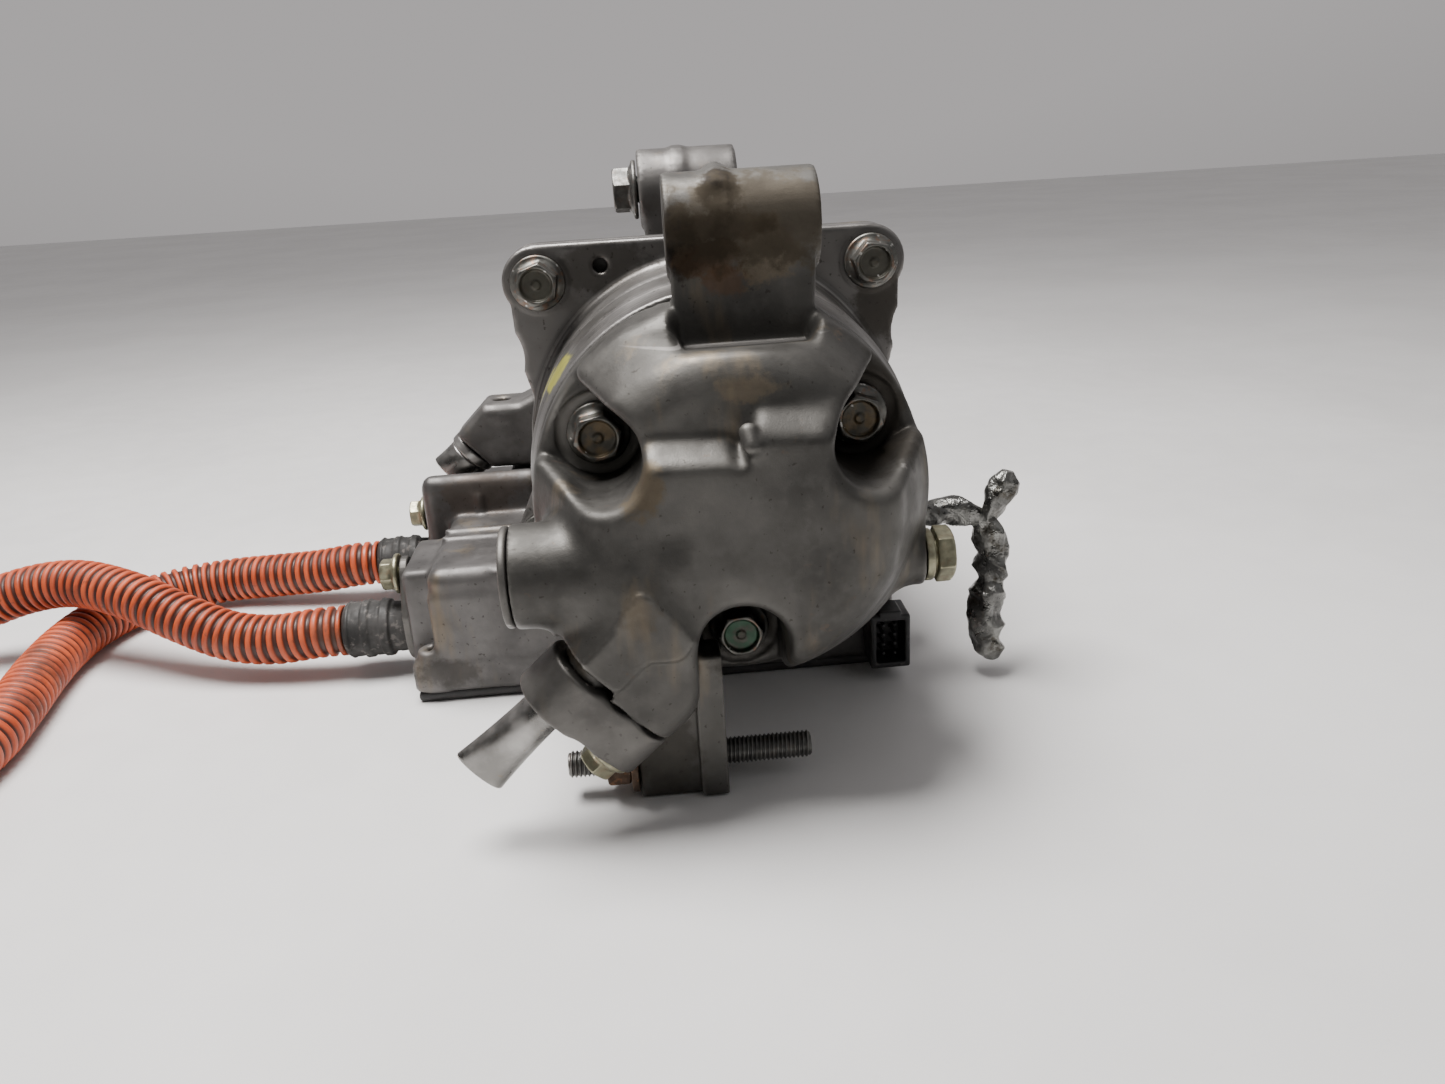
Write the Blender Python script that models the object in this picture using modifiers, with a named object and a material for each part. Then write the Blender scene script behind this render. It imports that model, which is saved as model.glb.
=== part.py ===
"""Electric scroll compressor with its inverter, pipe stubs and high-voltage leads.

Lengths are in metres. The assembly is drawn in the shaft's own frame: X = 0 on the shaft axis, Y runs from
the discharge end (front) to the motor end (rear) with Y = 0 at the front faces of the pocket bolt heads, and
Z = 0 is the surface that the compressor rests on. One empty moves that frame so that the world origin lies
under the middle of the compressor.
"""

import math

import bmesh
import bpy
from mathutils import Matrix, Vector

# Driving dimensions
ORIGIN = Vector((0.0278, -0.0746, 0.0))  # where the shaft frame's zero lies in the world
SHAFT_Z = 0.084
FIT = 0.0003  # gap between touching pieces
FRONT_R = 0.055
SCROLL_R = 0.0585
MOTOR_R = 0.059
FLANGE_R = 0.061
BORE_R = 0.053

PLATEAU_Y = -0.030
PLATEAU_R = 0.0415
STEP_Y = -0.022
SEAT_Y = 0.008
JOINT_Y = 0.018
EAR_FRONT_Y = 0.071
SEAM_Y = 0.0777
EAR_REAR_Y = 0.0840
REAR_Y = 0.1840

POCKET_BOLT_R = 0.0412
POCKET_ANGLES = (150, 30, 270)
POCKET_R = 0.0115
ARCH_R = 0.0122
ARCH_Z = 0.0520
UPPER_EAR = (0.0534, 0.1385)
LOWER_EAR = (0.0600, 0.0535)
EAR_R = 0.0115

WRAP_PITCH = 0.015
WRAP_WALL = 0.0042
FLANK_GAP = 0.0003
ORBIT_R = WRAP_PITCH / 2 - WRAP_WALL - FLANK_GAP
WRAP_START = 2.6
WRAP_END = 15.2
WRAP_STEP = math.radians(20)
PLATE_Y = 0.0310  # fixed scroll's floor
TIP_Y = 0.0510  # fixed scroll's wrap tips
ORBIT_PLATE = (0.0513, 0.0580)
FRAME_FRONT_Y = 0.0586
PIN_CIRCLE_R = 0.0385
PIN_R = 0.0020

TOP_BOSS = (0.007, 0.019, 0.157)
TOP_BOSS_R = 0.0142
TOP_BOSS_HOLE_R = 0.0055
REAR_BOSS = (-0.0016, 0.126, 0.1625)
REAR_BOSS_R = 0.0135
STUD = (-0.0195, -0.0075, 0.0100)
PORT_NORMAL = Vector((-0.750, 0.0, -0.661)).normalized()
PORT_SLOPE = Vector((-0.661, 0.0, 0.750)).normalized()  # along the joint, from the bolt to the pipe
PORT_CENTRE = Vector((-0.0374, -0.0243, 0.0419))
PORT_PIPE = 0.0093  # the pipe's and the bolt's places along the slope
PORT_BOLT = -0.0122
PORT_PIPE_R = 0.0105
PORT_BOLT_R = 0.0082
PORT_THICK = 0.0133
SUCTION_NORMAL = Vector((-0.73, 0.0, -0.683)).normalized()
SUCTION_CENTRE = Vector((-0.0905, 0.1400, 0.0690))

CASE_X = (-0.1015, 0.0580)
CASE_Y = (0.0580, 0.1840)
CASE_TOP = 0.0480
COVER_T = 0.0035
CONDUIT_R = 0.00925
GLAND_BOLT_UP = 0.0205  # from a gland's centre up to its bolt
FRONT_GLAND = (-0.1120, 0.0880, 0.0170)
REAR_GLAND = (-0.1150, 0.1600, 0.0160)
LEAD_R = 0.0048

COLOURS = {
    "cast": ((0.42, 0.41, 0.40), 0.55, 0.85),
    "machined": ((0.55, 0.54, 0.53), 0.35, 0.95),
    "steel": ((0.50, 0.50, 0.50), 0.35, 1.0),
    "zinc": ((0.48, 0.47, 0.36), 0.40, 0.9),
    "rusty": ((0.24, 0.15, 0.10), 0.75, 0.6),
    "pipe": ((0.68, 0.68, 0.68), 0.30, 1.0),
    "cover": ((0.06, 0.06, 0.065), 0.55, 0.3),
    "lamination": ((0.22, 0.22, 0.24), 0.45, 0.9),
    "copper": ((0.60, 0.28, 0.12), 0.40, 0.6),
    "rubber": ((0.07, 0.07, 0.07), 0.80, 0.0),
    "plastic": ((0.02, 0.02, 0.02), 0.45, 0.0),
    "orange": ((0.85, 0.16, 0.04), 0.50, 0.0),
    "foil": ((0.60, 0.60, 0.60), 0.35, 1.0),
    "board": ((0.03, 0.20, 0.09), 0.50, 0.0),
    "gasket": ((0.10, 0.10, 0.11), 0.70, 0.2),
}


# Scene and materials


def clear_scene():
    for thing in list(bpy.data.objects):
        bpy.data.objects.remove(thing, do_unlink=True)


def new_collection(name):
    collection = bpy.data.collections.new(name)
    bpy.context.scene.collection.children.link(collection)
    return collection


clear_scene()
PARTS = new_collection("scroll_compressor")
CUTTERS = new_collection("cutters")
ROOT = bpy.data.objects.new("shaft_frame", None)
ROOT.location = ORIGIN
PARTS.objects.link(ROOT)
MATERIALS = {}


def material(name):
    if name not in MATERIALS:
        colour, roughness, metallic = COLOURS[name]
        made = bpy.data.materials.new(name)
        made.use_nodes = True
        shader = made.node_tree.nodes["Principled BSDF"]
        shader.inputs["Base Color"].default_value = (*colour, 1)
        shader.inputs["Roughness"].default_value = roughness
        shader.inputs["Metallic"].default_value = metallic
        MATERIALS[name] = made
    return MATERIALS[name]


# Shapes


def place(name, data, matrix=None, parent=ROOT):
    thing = bpy.data.objects.new(name, data)
    PARTS.objects.link(thing)
    thing.parent = parent
    if matrix is not None:
        thing.matrix_local = matrix
    return thing


def from_bmesh(name, shape, matrix=None, smooth=False):
    mesh = bpy.data.meshes.new(name)
    shape.to_mesh(mesh)
    shape.free()
    if smooth:
        mesh.shade_smooth()
        mesh.set_sharp_from_angle(angle=math.radians(35))
    return place(name, mesh, matrix)


def turn_to(direction):
    """A rotation that lays local Z along a direction."""
    return Vector(direction).to_track_quat("Z", "Y").to_matrix().to_4x4()


def box(name, low, high):
    shape = bmesh.new()
    bmesh.ops.create_cube(shape, size=1)
    low, high = Vector(low), Vector(high)
    bmesh.ops.scale(shape, vec=high - low, verts=shape.verts)
    return from_bmesh(name, shape, Matrix.Translation((low + high) / 2))


def rod(name, start, end, radius, end_radius=None, sides=24):
    start, end = Vector(start), Vector(end)
    shape = bmesh.new()
    bmesh.ops.create_cone(
        shape,
        cap_ends=True,
        segments=sides,
        radius1=radius,
        radius2=radius if end_radius is None else end_radius,
        depth=(end - start).length,
    )
    matrix = Matrix.Translation((start + end) / 2) @ turn_to(end - start)
    return from_bmesh(name, shape, matrix, smooth=True)


def turned(name, profile, origin=(0, 0, 0), axis=(0, 1, 0), sides=32, ring=False):
    """A turned shape. The profile is (radius, distance along the axis), and runs down its outer side."""
    mesh = bpy.data.meshes.new(name)
    points = [(radius, 0, along) for radius, along in profile]
    edges = [(i, i + 1) for i in range(len(points) - 1)]
    if ring:
        edges.append((len(points) - 1, 0))
    mesh.from_pydata(points, edges, [])
    thing = place(name, mesh, Matrix.Translation(origin) @ turn_to(axis))
    screw = thing.modifiers.new("turn", "SCREW")
    screw.steps = sides
    screw.render_steps = sides
    screw.use_merge_vertices = True
    screw.merge_threshold = 0.00001
    return thing


def tube(name, inner, outer, start, end, x=0.0, z=SHAFT_Z, sides=32):
    """A ring about an axis along Y."""
    profile = [(outer, end), (outer, start), (inner, start), (inner, end)]
    return turned(name, profile, (x, 0, z), sides=sides, ring=True)


def disc(name, radius, start, end, x=0.0, z=SHAFT_Z, sides=32):
    return rod(name, (x, start, z), (x, end, z), radius, sides=sides)


AXIS_FRAMES = {
    "X": Matrix(((0, 0, 1, 0), (1, 0, 0, 0), (0, 1, 0, 0), (0, 0, 0, 1))),
    "Y": Matrix(((1, 0, 0, 0), (0, 0, -1, 0), (0, 1, 0, 0), (0, 0, 0, 1))),
    "Z": Matrix.Identity(4),
}


def curve_to_mesh(thing):
    """The same shape as a mesh object with its caps welded, so that it can be cut and joined."""
    graph = bpy.context.evaluated_depsgraph_get()
    mesh = bpy.data.meshes.new_from_object(thing.evaluated_get(graph))
    shape = bmesh.new()
    shape.from_mesh(mesh)
    bmesh.ops.remove_doubles(shape, verts=shape.verts, dist=0.000001)
    shape.to_mesh(mesh)
    shape.free()
    name, matrix = thing.name, thing.matrix_local.copy()
    bpy.data.objects.remove(thing, do_unlink=True)
    mesh.name = name
    return place(name, mesh, matrix)


def plate(name, outline, axis, start, end):
    """A flat outline, thick along one axis. The outline's two coordinates are the other axes, in order."""
    curve = bpy.data.curves.new(name, "CURVE")
    curve.dimensions = "2D"
    curve.fill_mode = "BOTH"
    curve.extrude = abs(end - start) / 2
    spline = curve.splines.new("POLY")
    spline.points.add(len(outline) - 1)
    for point, (across, up) in zip(spline.points, outline):
        point.co = (across, up, 0, 1)
    spline.use_cyclic_u = True
    middle = {"X": (1, 0, 0), "Y": (0, 1, 0), "Z": (0, 0, 1)}[axis]
    matrix = Matrix.Translation(Vector(middle) * (start + end) / 2) @ AXIS_FRAMES[axis]
    return curve_to_mesh(place(name, curve, matrix))


def arc(centre, radius, first, last, steps):
    """Points on a circle, between two angles in degrees."""
    angles = [math.radians(first + (last - first) * i / steps) for i in range(steps + 1)]
    return [(centre[0] + radius * math.cos(a), centre[1] + radius * math.sin(a)) for a in angles]


def cable(name, points, radius, resolution=2):
    """A round tube along points, from a smooth curve through a route."""
    curve = bpy.data.curves.new(name, "CURVE")
    curve.dimensions = "3D"
    curve.bevel_depth = radius
    curve.bevel_resolution = resolution
    curve.use_fill_caps = True
    spline = curve.splines.new("POLY")
    spline.points.add(len(points) - 1)
    for point, at in zip(spline.points, points):
        point.co = (*at, 1)
    return place(name, curve)


def smooth_route(route, pieces):
    """Points on a Catmull-Rom curve through a route's own points."""
    points = [Vector(p) for p in route]
    ends = [2 * points[0] - points[1], *points, 2 * points[-1] - points[-2]]
    found = []
    for a, b, c, d in zip(ends, ends[1:], ends[2:], ends[3:]):
        for i in range(pieces):
            t = i / pieces
            square = (2 * a - 5 * b + 4 * c - d) * t**2 / 2
            cube = (3 * b - a - 3 * c + d) * t**3 / 2
            found.append(b + (c - a) * t / 2 + square + cube)
    return [*found, points[-1]]


def boolean(thing, tools, operation):
    for tool in tools:
        modifier = thing.modifiers.new(tool.name, "BOOLEAN")
        modifier.object = tool
        modifier.operation = operation
        if tool.name not in CUTTERS.objects:
            PARTS.objects.unlink(tool)
            CUTTERS.objects.link(tool)
        tool.hide_render = True
        tool.display_type = "WIRE"


def join(thing, *tools):
    boolean(thing, tools, "UNION")


def cut(thing, *tools):
    boolean(thing, tools, "DIFFERENCE")


def finish(thing, slot):
    thing.data.materials.clear()
    thing.data.materials.append(material(slot))
    return thing


def axis_empty(name, at):
    """The centre of a group that turns about a line along Y."""
    empty = bpy.data.objects.new(name, None)
    empty.location = at
    empty.parent = ROOT
    PARTS.objects.link(empty)
    return empty


def turn_with(empty, *names):
    """Hangs objects on an axis without moving them."""
    for name in names:
        thing = bpy.data.objects[name]
        thing.matrix_local = Matrix.Translation(-empty.location) @ thing.matrix_local
        thing.parent = empty


def around(radius, degrees):
    """A point on a circle about the shaft axis, as (x, z)."""
    angle = math.radians(degrees)
    return radius * math.cos(angle), SHAFT_Z + radius * math.sin(angle)


# Fasteners


def flange_bolt(name, seat, axis, shank_r, length, across_flats, head, slot="steel"):
    """A hex flange bolt: the seat is its bearing face's centre, and the axis points to the head."""
    seat, axis = Vector(seat), Vector(axis).normalized()
    flange_r = across_flats * 0.72
    profile = [(0, 0.0016), (flange_r * 0.92, 0.0016), (flange_r, 0)]
    profile += [(shank_r, 0), (shank_r, -length), (0, -length)]
    thing = turned(name, profile, seat, axis, sides=12)
    start, end = seat + axis * 0.0008, seat + axis * head
    join(thing, rod(name + "_hex", start, end, across_flats / math.sqrt(3), sides=6))
    return finish(thing, slot)


# Castings


def discharge_body():
    """The round cover with its two raised steps, pocket lobes, recess and notch."""
    body = disc("discharge_housing", FRONT_R, -0.004, JOINT_Y, sides=40)
    ends = ((0, 0.002, SHAFT_Z), (0, PLATEAU_Y, SHAFT_Z))
    slope = rod("front_slope", *ends, FRONT_R - FIT, PLATEAU_R, sides=40)
    above = [(-0.070, 0.1055), (-0.0205, 0.1055), (0.0005, 0.1050), (0.0035, 0.1110), (0.070, 0.1110)]
    above.append((0.070, 0.150))
    cut(slope, plate("above_step", [*above, (-0.070, 0.150)], "Y", PLATEAU_Y - 0.002, STEP_Y))
    cut(slope, box("above_parting", (-0.07, -0.04, 0.1265), (0.07, 0.01, 0.15)))
    join(body, slope)
    return body


def pocket_ways():
    """A straight way out past the rim from each bolt pocket, a little shallower than the spot face."""
    tools = []
    for i, degrees in enumerate(POCKET_ANGLES):
        x, z = around(POCKET_BOLT_R, degrees)
        far_x, far_z = around(0.075, degrees)
        across = Vector((z - far_z, 0, far_x - x)).normalized() * (POCKET_R - FIT)
        outline = [
            (x + across.x, z + across.z),
            (far_x + across.x, far_z + across.z),
            (far_x - across.x, far_z - across.z),
            (x - across.x, z - across.z),
        ]
        tools.append(plate(f"pocket_way_{i}", outline, "Y", -0.05, SEAT_Y - 0.001))
    return tools


def pockets():
    """Each bolt pocket's round part, spot face and bolt hole, and the arch over the lowest one."""
    tools = []
    for i, degrees in enumerate(POCKET_ANGLES):
        x, z = around(POCKET_BOLT_R, degrees)
        tools.append(disc(f"pocket_{i}", POCKET_R, -0.05, SEAT_Y, x, z, sides=24))
        tools.append(disc(f"pocket_hole_{i}", 0.0043, 0, 0.03, x, z, sides=12))
    return [*tools, plate("arch", arc((0, ARCH_Z), ARCH_R, -10, 190, 9), "Y", -0.05, SEAT_Y - 0.002)]


def top_boss():
    """The mounting boss across the top, and the web that carries it."""
    x, y, z = TOP_BOSS
    boss = rod("top_boss", (x - 0.0205, y, z), (x + 0.0205, y, z), TOP_BOSS_R, sides=28)
    web = [(-0.0130, 0.112), (0.0245, 0.112), (0.0262, z + 0.002), (-0.0125, z + 0.002)]
    return boss, plate("top_web", web, "Y", y - TOP_BOSS_R + 0.0015, JOINT_Y + 0.0115)


def lower_leg():
    """The mounting lug below: its right part stands 2.5 mm further forward than its left part."""
    rear, step = STUD[1] + 0.0135, STUD[1] - 0.0060
    front = step - 0.0025
    outline = [(-0.0325, rear), (-0.0325, step), (-0.0150, step)]
    outline += [(-0.0150, front), (-0.0070, front), (-0.0070, rear)]
    return plate("leg", outline, "Z", 0.0004, 0.0600)


def along_port(slope, off):
    """A point in the discharge port's own directions: along its slope, and off its joint face."""
    return PORT_CENTRE + PORT_SLOPE * slope + PORT_NORMAL * off


def port_block(name, start, end):
    """The shape shared by the port's boss and its fitting: a round end for the pipe and one for the bolt."""
    span = PORT_PIPE - PORT_BOLT
    low, high = (-span / 2, -PORT_BOLT_R + 2 * FIT, 0), (span / 2, PORT_BOLT_R - 2 * FIT, end - start)
    block = box(name, low, high)
    turn = Matrix((PORT_SLOPE, PORT_NORMAL.cross(PORT_SLOPE), PORT_NORMAL)).transposed().to_4x4()
    middle = along_port((PORT_PIPE + PORT_BOLT) / 2, (start + end) / 2)
    block.matrix_local = Matrix.Translation(middle) @ turn
    top = along_port(PORT_PIPE, end + 0.001)
    pipe_end = rod(name + "_pipe_end", along_port(PORT_PIPE, start + 2 * FIT), top, PORT_PIPE_R)
    start, end = start + FIT, end - FIT
    bolt_end = rod(name + "_bolt_end", along_port(PORT_BOLT, start), along_port(PORT_BOLT, end), PORT_BOLT_R)
    join(block, pipe_end, bolt_end)
    return block


def build_discharge_housing():
    housing = discharge_body()
    cut(housing, *pocket_ways())
    boss, web = top_boss()
    join(housing, web, boss)
    join(housing, rod("plug_boss", (-0.0600, -0.017, 0.0738), (-0.020, -0.017, 0.0738), 0.0140, sides=28))
    join(housing, rod("relief_boss", (0.0533, 0.003, 0.0625), (0.030, 0.003, 0.0625), 0.0085, sides=20))
    join(housing, port_block("port_boss", -0.0280, -0.0012))
    join(housing, lower_leg())
    cut(housing, *pockets())
    cut(housing, disc("scroll_room", SCROLL_R + 2 * FIT, JOINT_Y, 0.06, sides=40))
    cut(housing, disc("discharge_chamber", 0.0270, -0.0235, 0.03))
    y, z = -0.0165, 0.0738
    cut(housing, rod("separator_bore", (-0.070, y, z), (-0.015, y, z), 0.0103, sides=20))
    cut(housing, rod("relief_bore", (0.070, 0.003, 0.0625), (0.020, 0.003, 0.0625), 0.0046, sides=16))
    x, y, z = TOP_BOSS
    cut(housing, rod("top_hole", (x - 0.04, y, z), (x + 0.04, y, z), TOP_BOSS_HOLE_R, sides=16))
    x, y, z = STUD
    cut(housing, rod("stud_hole", (x - 0.04, y, z), (x + 0.04, y, z), 0.0043, sides=12))
    bores = (("port_bore", PORT_PIPE, -0.034, 0.0040), ("port_thread", PORT_BOLT, -0.012, 0.0033))
    for name, slide, depth, radius in bores:
        cut(housing, rod(name, along_port(slide, depth), along_port(slide, 0.002), radius, sides=16))
    return finish(housing, "cast")


def ear_plate(name, start, end, inner):
    """One layer of the eared flange: flat on top between the ears, with necks down to the round body."""
    ex, ez = UPPER_EAR
    lx, lz = LOWER_EAR
    right = [
        *arc((ex, ez), EAR_R, 90, -35, 7),
        *arc((0.0765, 0.1150), 0.0160, 150, 196, 4),
        *arc((0, SHAFT_Z), FLANGE_R, 16, -8, 3),
        *arc((lx, lz), 0.0098, 28, -110, 6),
        (0.046, 0.0436),
    ]
    left = [(-x, z) for x, z in reversed(right)]
    flange = plate(name, [*right, *left], "Y", start, end)
    cut(flange, disc(name + "_bore", inner, start - 0.01, end + 0.2))
    return flange


EAR_BOLTS = [(ear[0] * side, ear[1]) for ear in (UPPER_EAR, LOWER_EAR) for side in (-1, 1)]


def ear_holes(name, start, end):
    return [disc(f"{name}_{i}", 0.0043, start, end, x, z, sides=12) for i, (x, z) in enumerate(EAR_BOLTS)]


def build_scroll_housing():
    start, end = JOINT_Y + 0.0012, SEAM_Y - FIT
    profile = [
        (SCROLL_R, end),
        (SCROLL_R, 0.0520),
        (SCROLL_R - 0.0010, 0.0510),
        (SCROLL_R - 0.0010, 0.0470),
        (SCROLL_R, 0.0460),
        (SCROLL_R, 0.0300),
        (0.0565, 0.0285),
        (0.0565, start),
        (BORE_R, start),
        (BORE_R, end),
    ]
    housing = turned("scroll_housing", profile, (0, 0, SHAFT_Z), sides=36, ring=True)
    join(housing, ear_plate("front_ears", EAR_FRONT_Y, end, SCROLL_R - 0.003))
    join(housing, box("lead_pad", (0.0480, 0.0430, 0.0520), (0.0600, 0.0570, 0.0640)))
    cut(housing, disc("scroll_clearance", BORE_R, 0.0, 0.1, sides=36))
    cut(housing, *ear_holes("front_ear_hole", 0.06, 0.1))
    cut(housing, disc("dowel_hole", 0.0022, 0.06, 0.1, -0.0333, 0.1425, sides=12))
    return finish(housing, "machined")


def build_motor_housing():
    profile = [
        (0, REAR_Y),
        (MOTOR_R - 0.006, REAR_Y),
        (MOTOR_R, REAR_Y - 0.006),
        (MOTOR_R, SEAM_Y),
        (0.0512, SEAM_Y),
        (0.0512, 0.1700),
        (0.0200, 0.1740),
        (0.0200, 0.1665),
        (0.0143, 0.1665),
        (0.0143, 0.1785),
        (0, 0.1785),
    ]
    housing = turned("motor_housing", profile, (0, 0, SHAFT_Z), sides=36)
    join(housing, ear_plate("rear_ears", SEAM_Y, EAR_REAR_Y, 0.0540))
    x, y, z = REAR_BOSS
    join(housing, box("rear_web", (x - 0.0165, y - 0.0125, 0.138), (x + 0.0165, y + 0.0125, z)))
    join(housing, rod("rear_boss", (x - 0.0175, y, z), (x + 0.0175, y, z), REAR_BOSS_R, sides=32))
    outline = [
        (-0.050, 0.0620),
        (-0.0845, 0.0622),
        (-0.0970, 0.0758),
        (-0.0850, 0.0875),
        (-0.0715, 0.0875),
        (-0.045, 0.100),
    ]
    join(housing, plate("suction_pad", outline, "Y", 0.1280, 0.1520))
    cut(housing, disc("motor_room", 0.0512, SEAM_Y + 0.001, 0.1650, sides=36))
    cut(housing, rod("rear_hole", (x - 0.04, y, z), (x + 0.04, y, z), 0.0053, sides=20))
    cut(housing, rod("suction_bore", (-0.0905, 0.140, 0.0690), (-0.040, 0.140, 0.0830), 0.0060, sides=16))
    cut(housing, rod("suction_thread", (-0.0790, 0.140, 0.105), (-0.0790, 0.140, 0.078), 0.0033, sides=12))
    cut(housing, *ear_holes("rear_ear_hole", 0.07, 0.1))
    cut(housing, rod("terminal_hole", (0, 0.1560, 0.015), (0, 0.1560, 0.045), 0.0083, sides=20))
    return finish(housing, "cast")


def build_inverter_case():
    """A cast tray under and beside the motor, open below, with a saddle for the round body."""
    low, high = CASE_X
    front, rear = CASE_Y
    base = COVER_T + FIT
    case = box("inverter_case", (low, front, base), (high, rear, 0.0400))
    foot = [(low - 0.0085, front), (high + 0.0005, front), (high + 0.0005, rear), (low - 0.0085, rear)]
    join(case, plate("case_foot", foot, "Z", base, 0.0145))
    join(case, box("case_side", (low + 0.0004, front, base + 0.001), (-0.0560, rear, CASE_TOP)))
    join(case, box("case_tower", (-0.1145, 0.1180, base + 0.002), (-0.0660, rear - 0.0002, 0.0615)))
    join(case, box("front_gland_block", (-0.1120, 0.0705, base + 0.0005), (low + 0.002, 0.1055, 0.0440)))
    join(case, box("rear_gland_block", (-0.1150, 0.1440, base + 0.0015), (low + 0.002, 0.1760, 0.0460)))
    cut(case, disc("saddle", MOTOR_R + 2 * FIT, 0.05, 0.19, sides=36))
    cut(case, disc("ear_saddle", 0.0690, 0.05, EAR_REAR_Y + FIT, sides=36))
    for side in (-1, 1):
        x, z = LOWER_EAR[0] * side, LOWER_EAR[1]
        cut(case, disc(f"lower_ear_room_{side + 1}", 0.0125, 0.05, EAR_REAR_Y + FIT, x, z, sides=16))
    cut(case, box("tray_left", (low + 0.004, front + 0.004, -0.01), (-0.0560, rear - 0.004, 0.0440)))
    cut(case, box("tray_middle", (-0.0570, 0.0880, -0.01), (high - 0.004, rear - 0.004, 0.0200)))
    for i, (x, y, z) in enumerate((FRONT_GLAND, REAR_GLAND)):
        cut(case, rod(f"gland_bore_{i}", (x - 0.005, y, z), (x + 0.014, y, z), 0.0083, sides=16))
        ends = [(x + reach, y, z + GLAND_BOLT_UP) for reach in (-0.005, 0.006)]
        cut(case, rod(f"gland_thread_{i}", *ends, 0.0033, sides=12))
    cut(case, rod("terminal_way", (0, 0.1560, 0.010), (0, 0.1560, 0.045), 0.0083, sides=20))
    cut(case, box("suction_room", (-0.12, 0.1285, 0.0480), (-0.0780, 0.19, 0.07)))
    cut(case, box("connector_way", (0.0480, 0.0500, 0.0100), (0.0540, 0.0920, 0.0180)))
    return finish(case, "cast")


def build_inverter_cover():
    low, high = CASE_X
    outline = [(low - 0.0080, 0.0585), (high, 0.0585), (high, 0.1835), (low - 0.0080, 0.1835)]
    return finish(plate("inverter_cover", outline, "Z", 0.0, COVER_T), "cover")


# Scroll set


def wrap_outline(shift):
    """One spiral wall, from the base circle's involute. The shift turns the whole spiral, in radians."""
    base = WRAP_PITCH / (2 * math.pi)
    count = round((WRAP_END - WRAP_START) / WRAP_STEP)
    outer, inner = [], []
    for i in range(count + 1):
        roll = WRAP_START + i * WRAP_STEP
        angle = roll + shift
        for side, points in ((0.5, outer), (-0.5, inner)):
            length = base * roll + side * WRAP_WALL
            points.append(
                (
                    base * math.cos(angle) + length * math.sin(angle),
                    SHAFT_Z + base * math.sin(angle) - length * math.cos(angle),
                )
            )
    return [*outer, *reversed(inner)]


def build_fixed_scroll():
    outer, rim_end = BORE_R - FIT, ORBIT_PLATE[1] + FIT
    front = JOINT_Y + 0.0015
    profile = [(0, PLATE_Y), (0.0500, PLATE_Y), (0.0500, rim_end)]
    profile += [(outer, rim_end), (outer, front), (0, front)]
    scroll = turned("fixed_scroll", profile, (0, 0, SHAFT_Z), sides=32)
    join(scroll, plate("fixed_wrap", wrap_outline(0), "Y", PLATE_Y - 0.002, TIP_Y))
    cut(scroll, disc("discharge_hole", 0.0030, 0.0, 0.04, 0.0, SHAFT_Z, sides=16))
    for i, degrees in enumerate(POCKET_ANGLES):
        x, z = around(POCKET_BOLT_R, degrees)
        cut(scroll, disc(f"scroll_thread_{i}", 0.0043, 0.0, PLATE_Y - 0.003, x, z, sides=16))
    return finish(scroll, "machined")


def build_orbiting_scroll():
    """The moving scroll, drawn about the crank pin: its wall is the fixed one turned by half a turn."""
    outline = [(x + ORBIT_R, z) for x, z in wrap_outline(math.pi)]
    front, back = ORBIT_PLATE
    scroll = disc("orbiting_scroll", 0.0460, front, back, ORBIT_R, SHAFT_Z, sides=40)
    join(scroll, plate("orbiting_wrap", outline, "Y", PLATE_Y + FIT, front + 0.002))
    join(scroll, tube("orbiting_hub", 0.0123, 0.0150, back - 0.002, 0.0740, ORBIT_R, SHAFT_Z, sides=28))
    for i in range(3):
        x, z = around(PIN_CIRCLE_R, 90 + 120 * i)
        cut(scroll, disc(f"pin_seat_{i}", PIN_R + FIT, back - 0.003, 0.07, x + ORBIT_R, z, sides=12))
    return finish(scroll, "machined")


def build_anti_rotation_pins():
    for i in range(3):
        x, z = around(PIN_CIRCLE_R, 90 + 120 * i)
        ends = (ORBIT_PLATE[1] - 0.0027, 0.0662)
        pin = disc(f"anti_rotation_pin_{i + 1}", PIN_R, *ends, x + ORBIT_R, z, sides=12)
        finish(pin, "steel")


def build_main_frame():
    """The middle wall: it backs the orbiting scroll, guides its pins and holds the main bearing."""
    frame = disc("main_frame", BORE_R - FIT, FRAME_FRONT_Y, SEAM_Y - 0.0006, sides=32)
    join(frame, disc("bearing_hub", 0.0235, 0.070, 0.0925, sides=24))
    cut(frame, disc("hub_room", 0.0200, 0.05, 0.0765, sides=24))
    cut(frame, disc("bearing_seat", 0.0180, 0.07, 0.0910, sides=24))
    cut(frame, disc("shaft_way", 0.0150, 0.07, 0.10, sides=20))
    for i in range(3):
        x, z = around(PIN_CIRCLE_R, 90 + 120 * i)
        cut(frame, disc(f"pin_room_{i}", ORBIT_R + PIN_R + 0.0004, 0.05, 0.0670, x, z, sides=20))
    return finish(frame, "cast")


# Shaft and motor


def build_crankshaft():
    profile = [
        (0, 0.1770),
        (0.0080, 0.1770),
        (0.0080, 0.1525),
        (0.0100, 0.1515),
        (0.0100, 0.0768),
        (0.0130, 0.0765),
        (0.0130, 0.0745),
        (0, 0.0745),
    ]
    shaft = turned("crankshaft", profile, (0, 0, SHAFT_Z), sides=20)
    join(shaft, disc("crank_pin", 0.0060, 0.0590, 0.0750, ORBIT_R, SHAFT_Z, sides=20))
    return finish(shaft, "steel")


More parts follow.
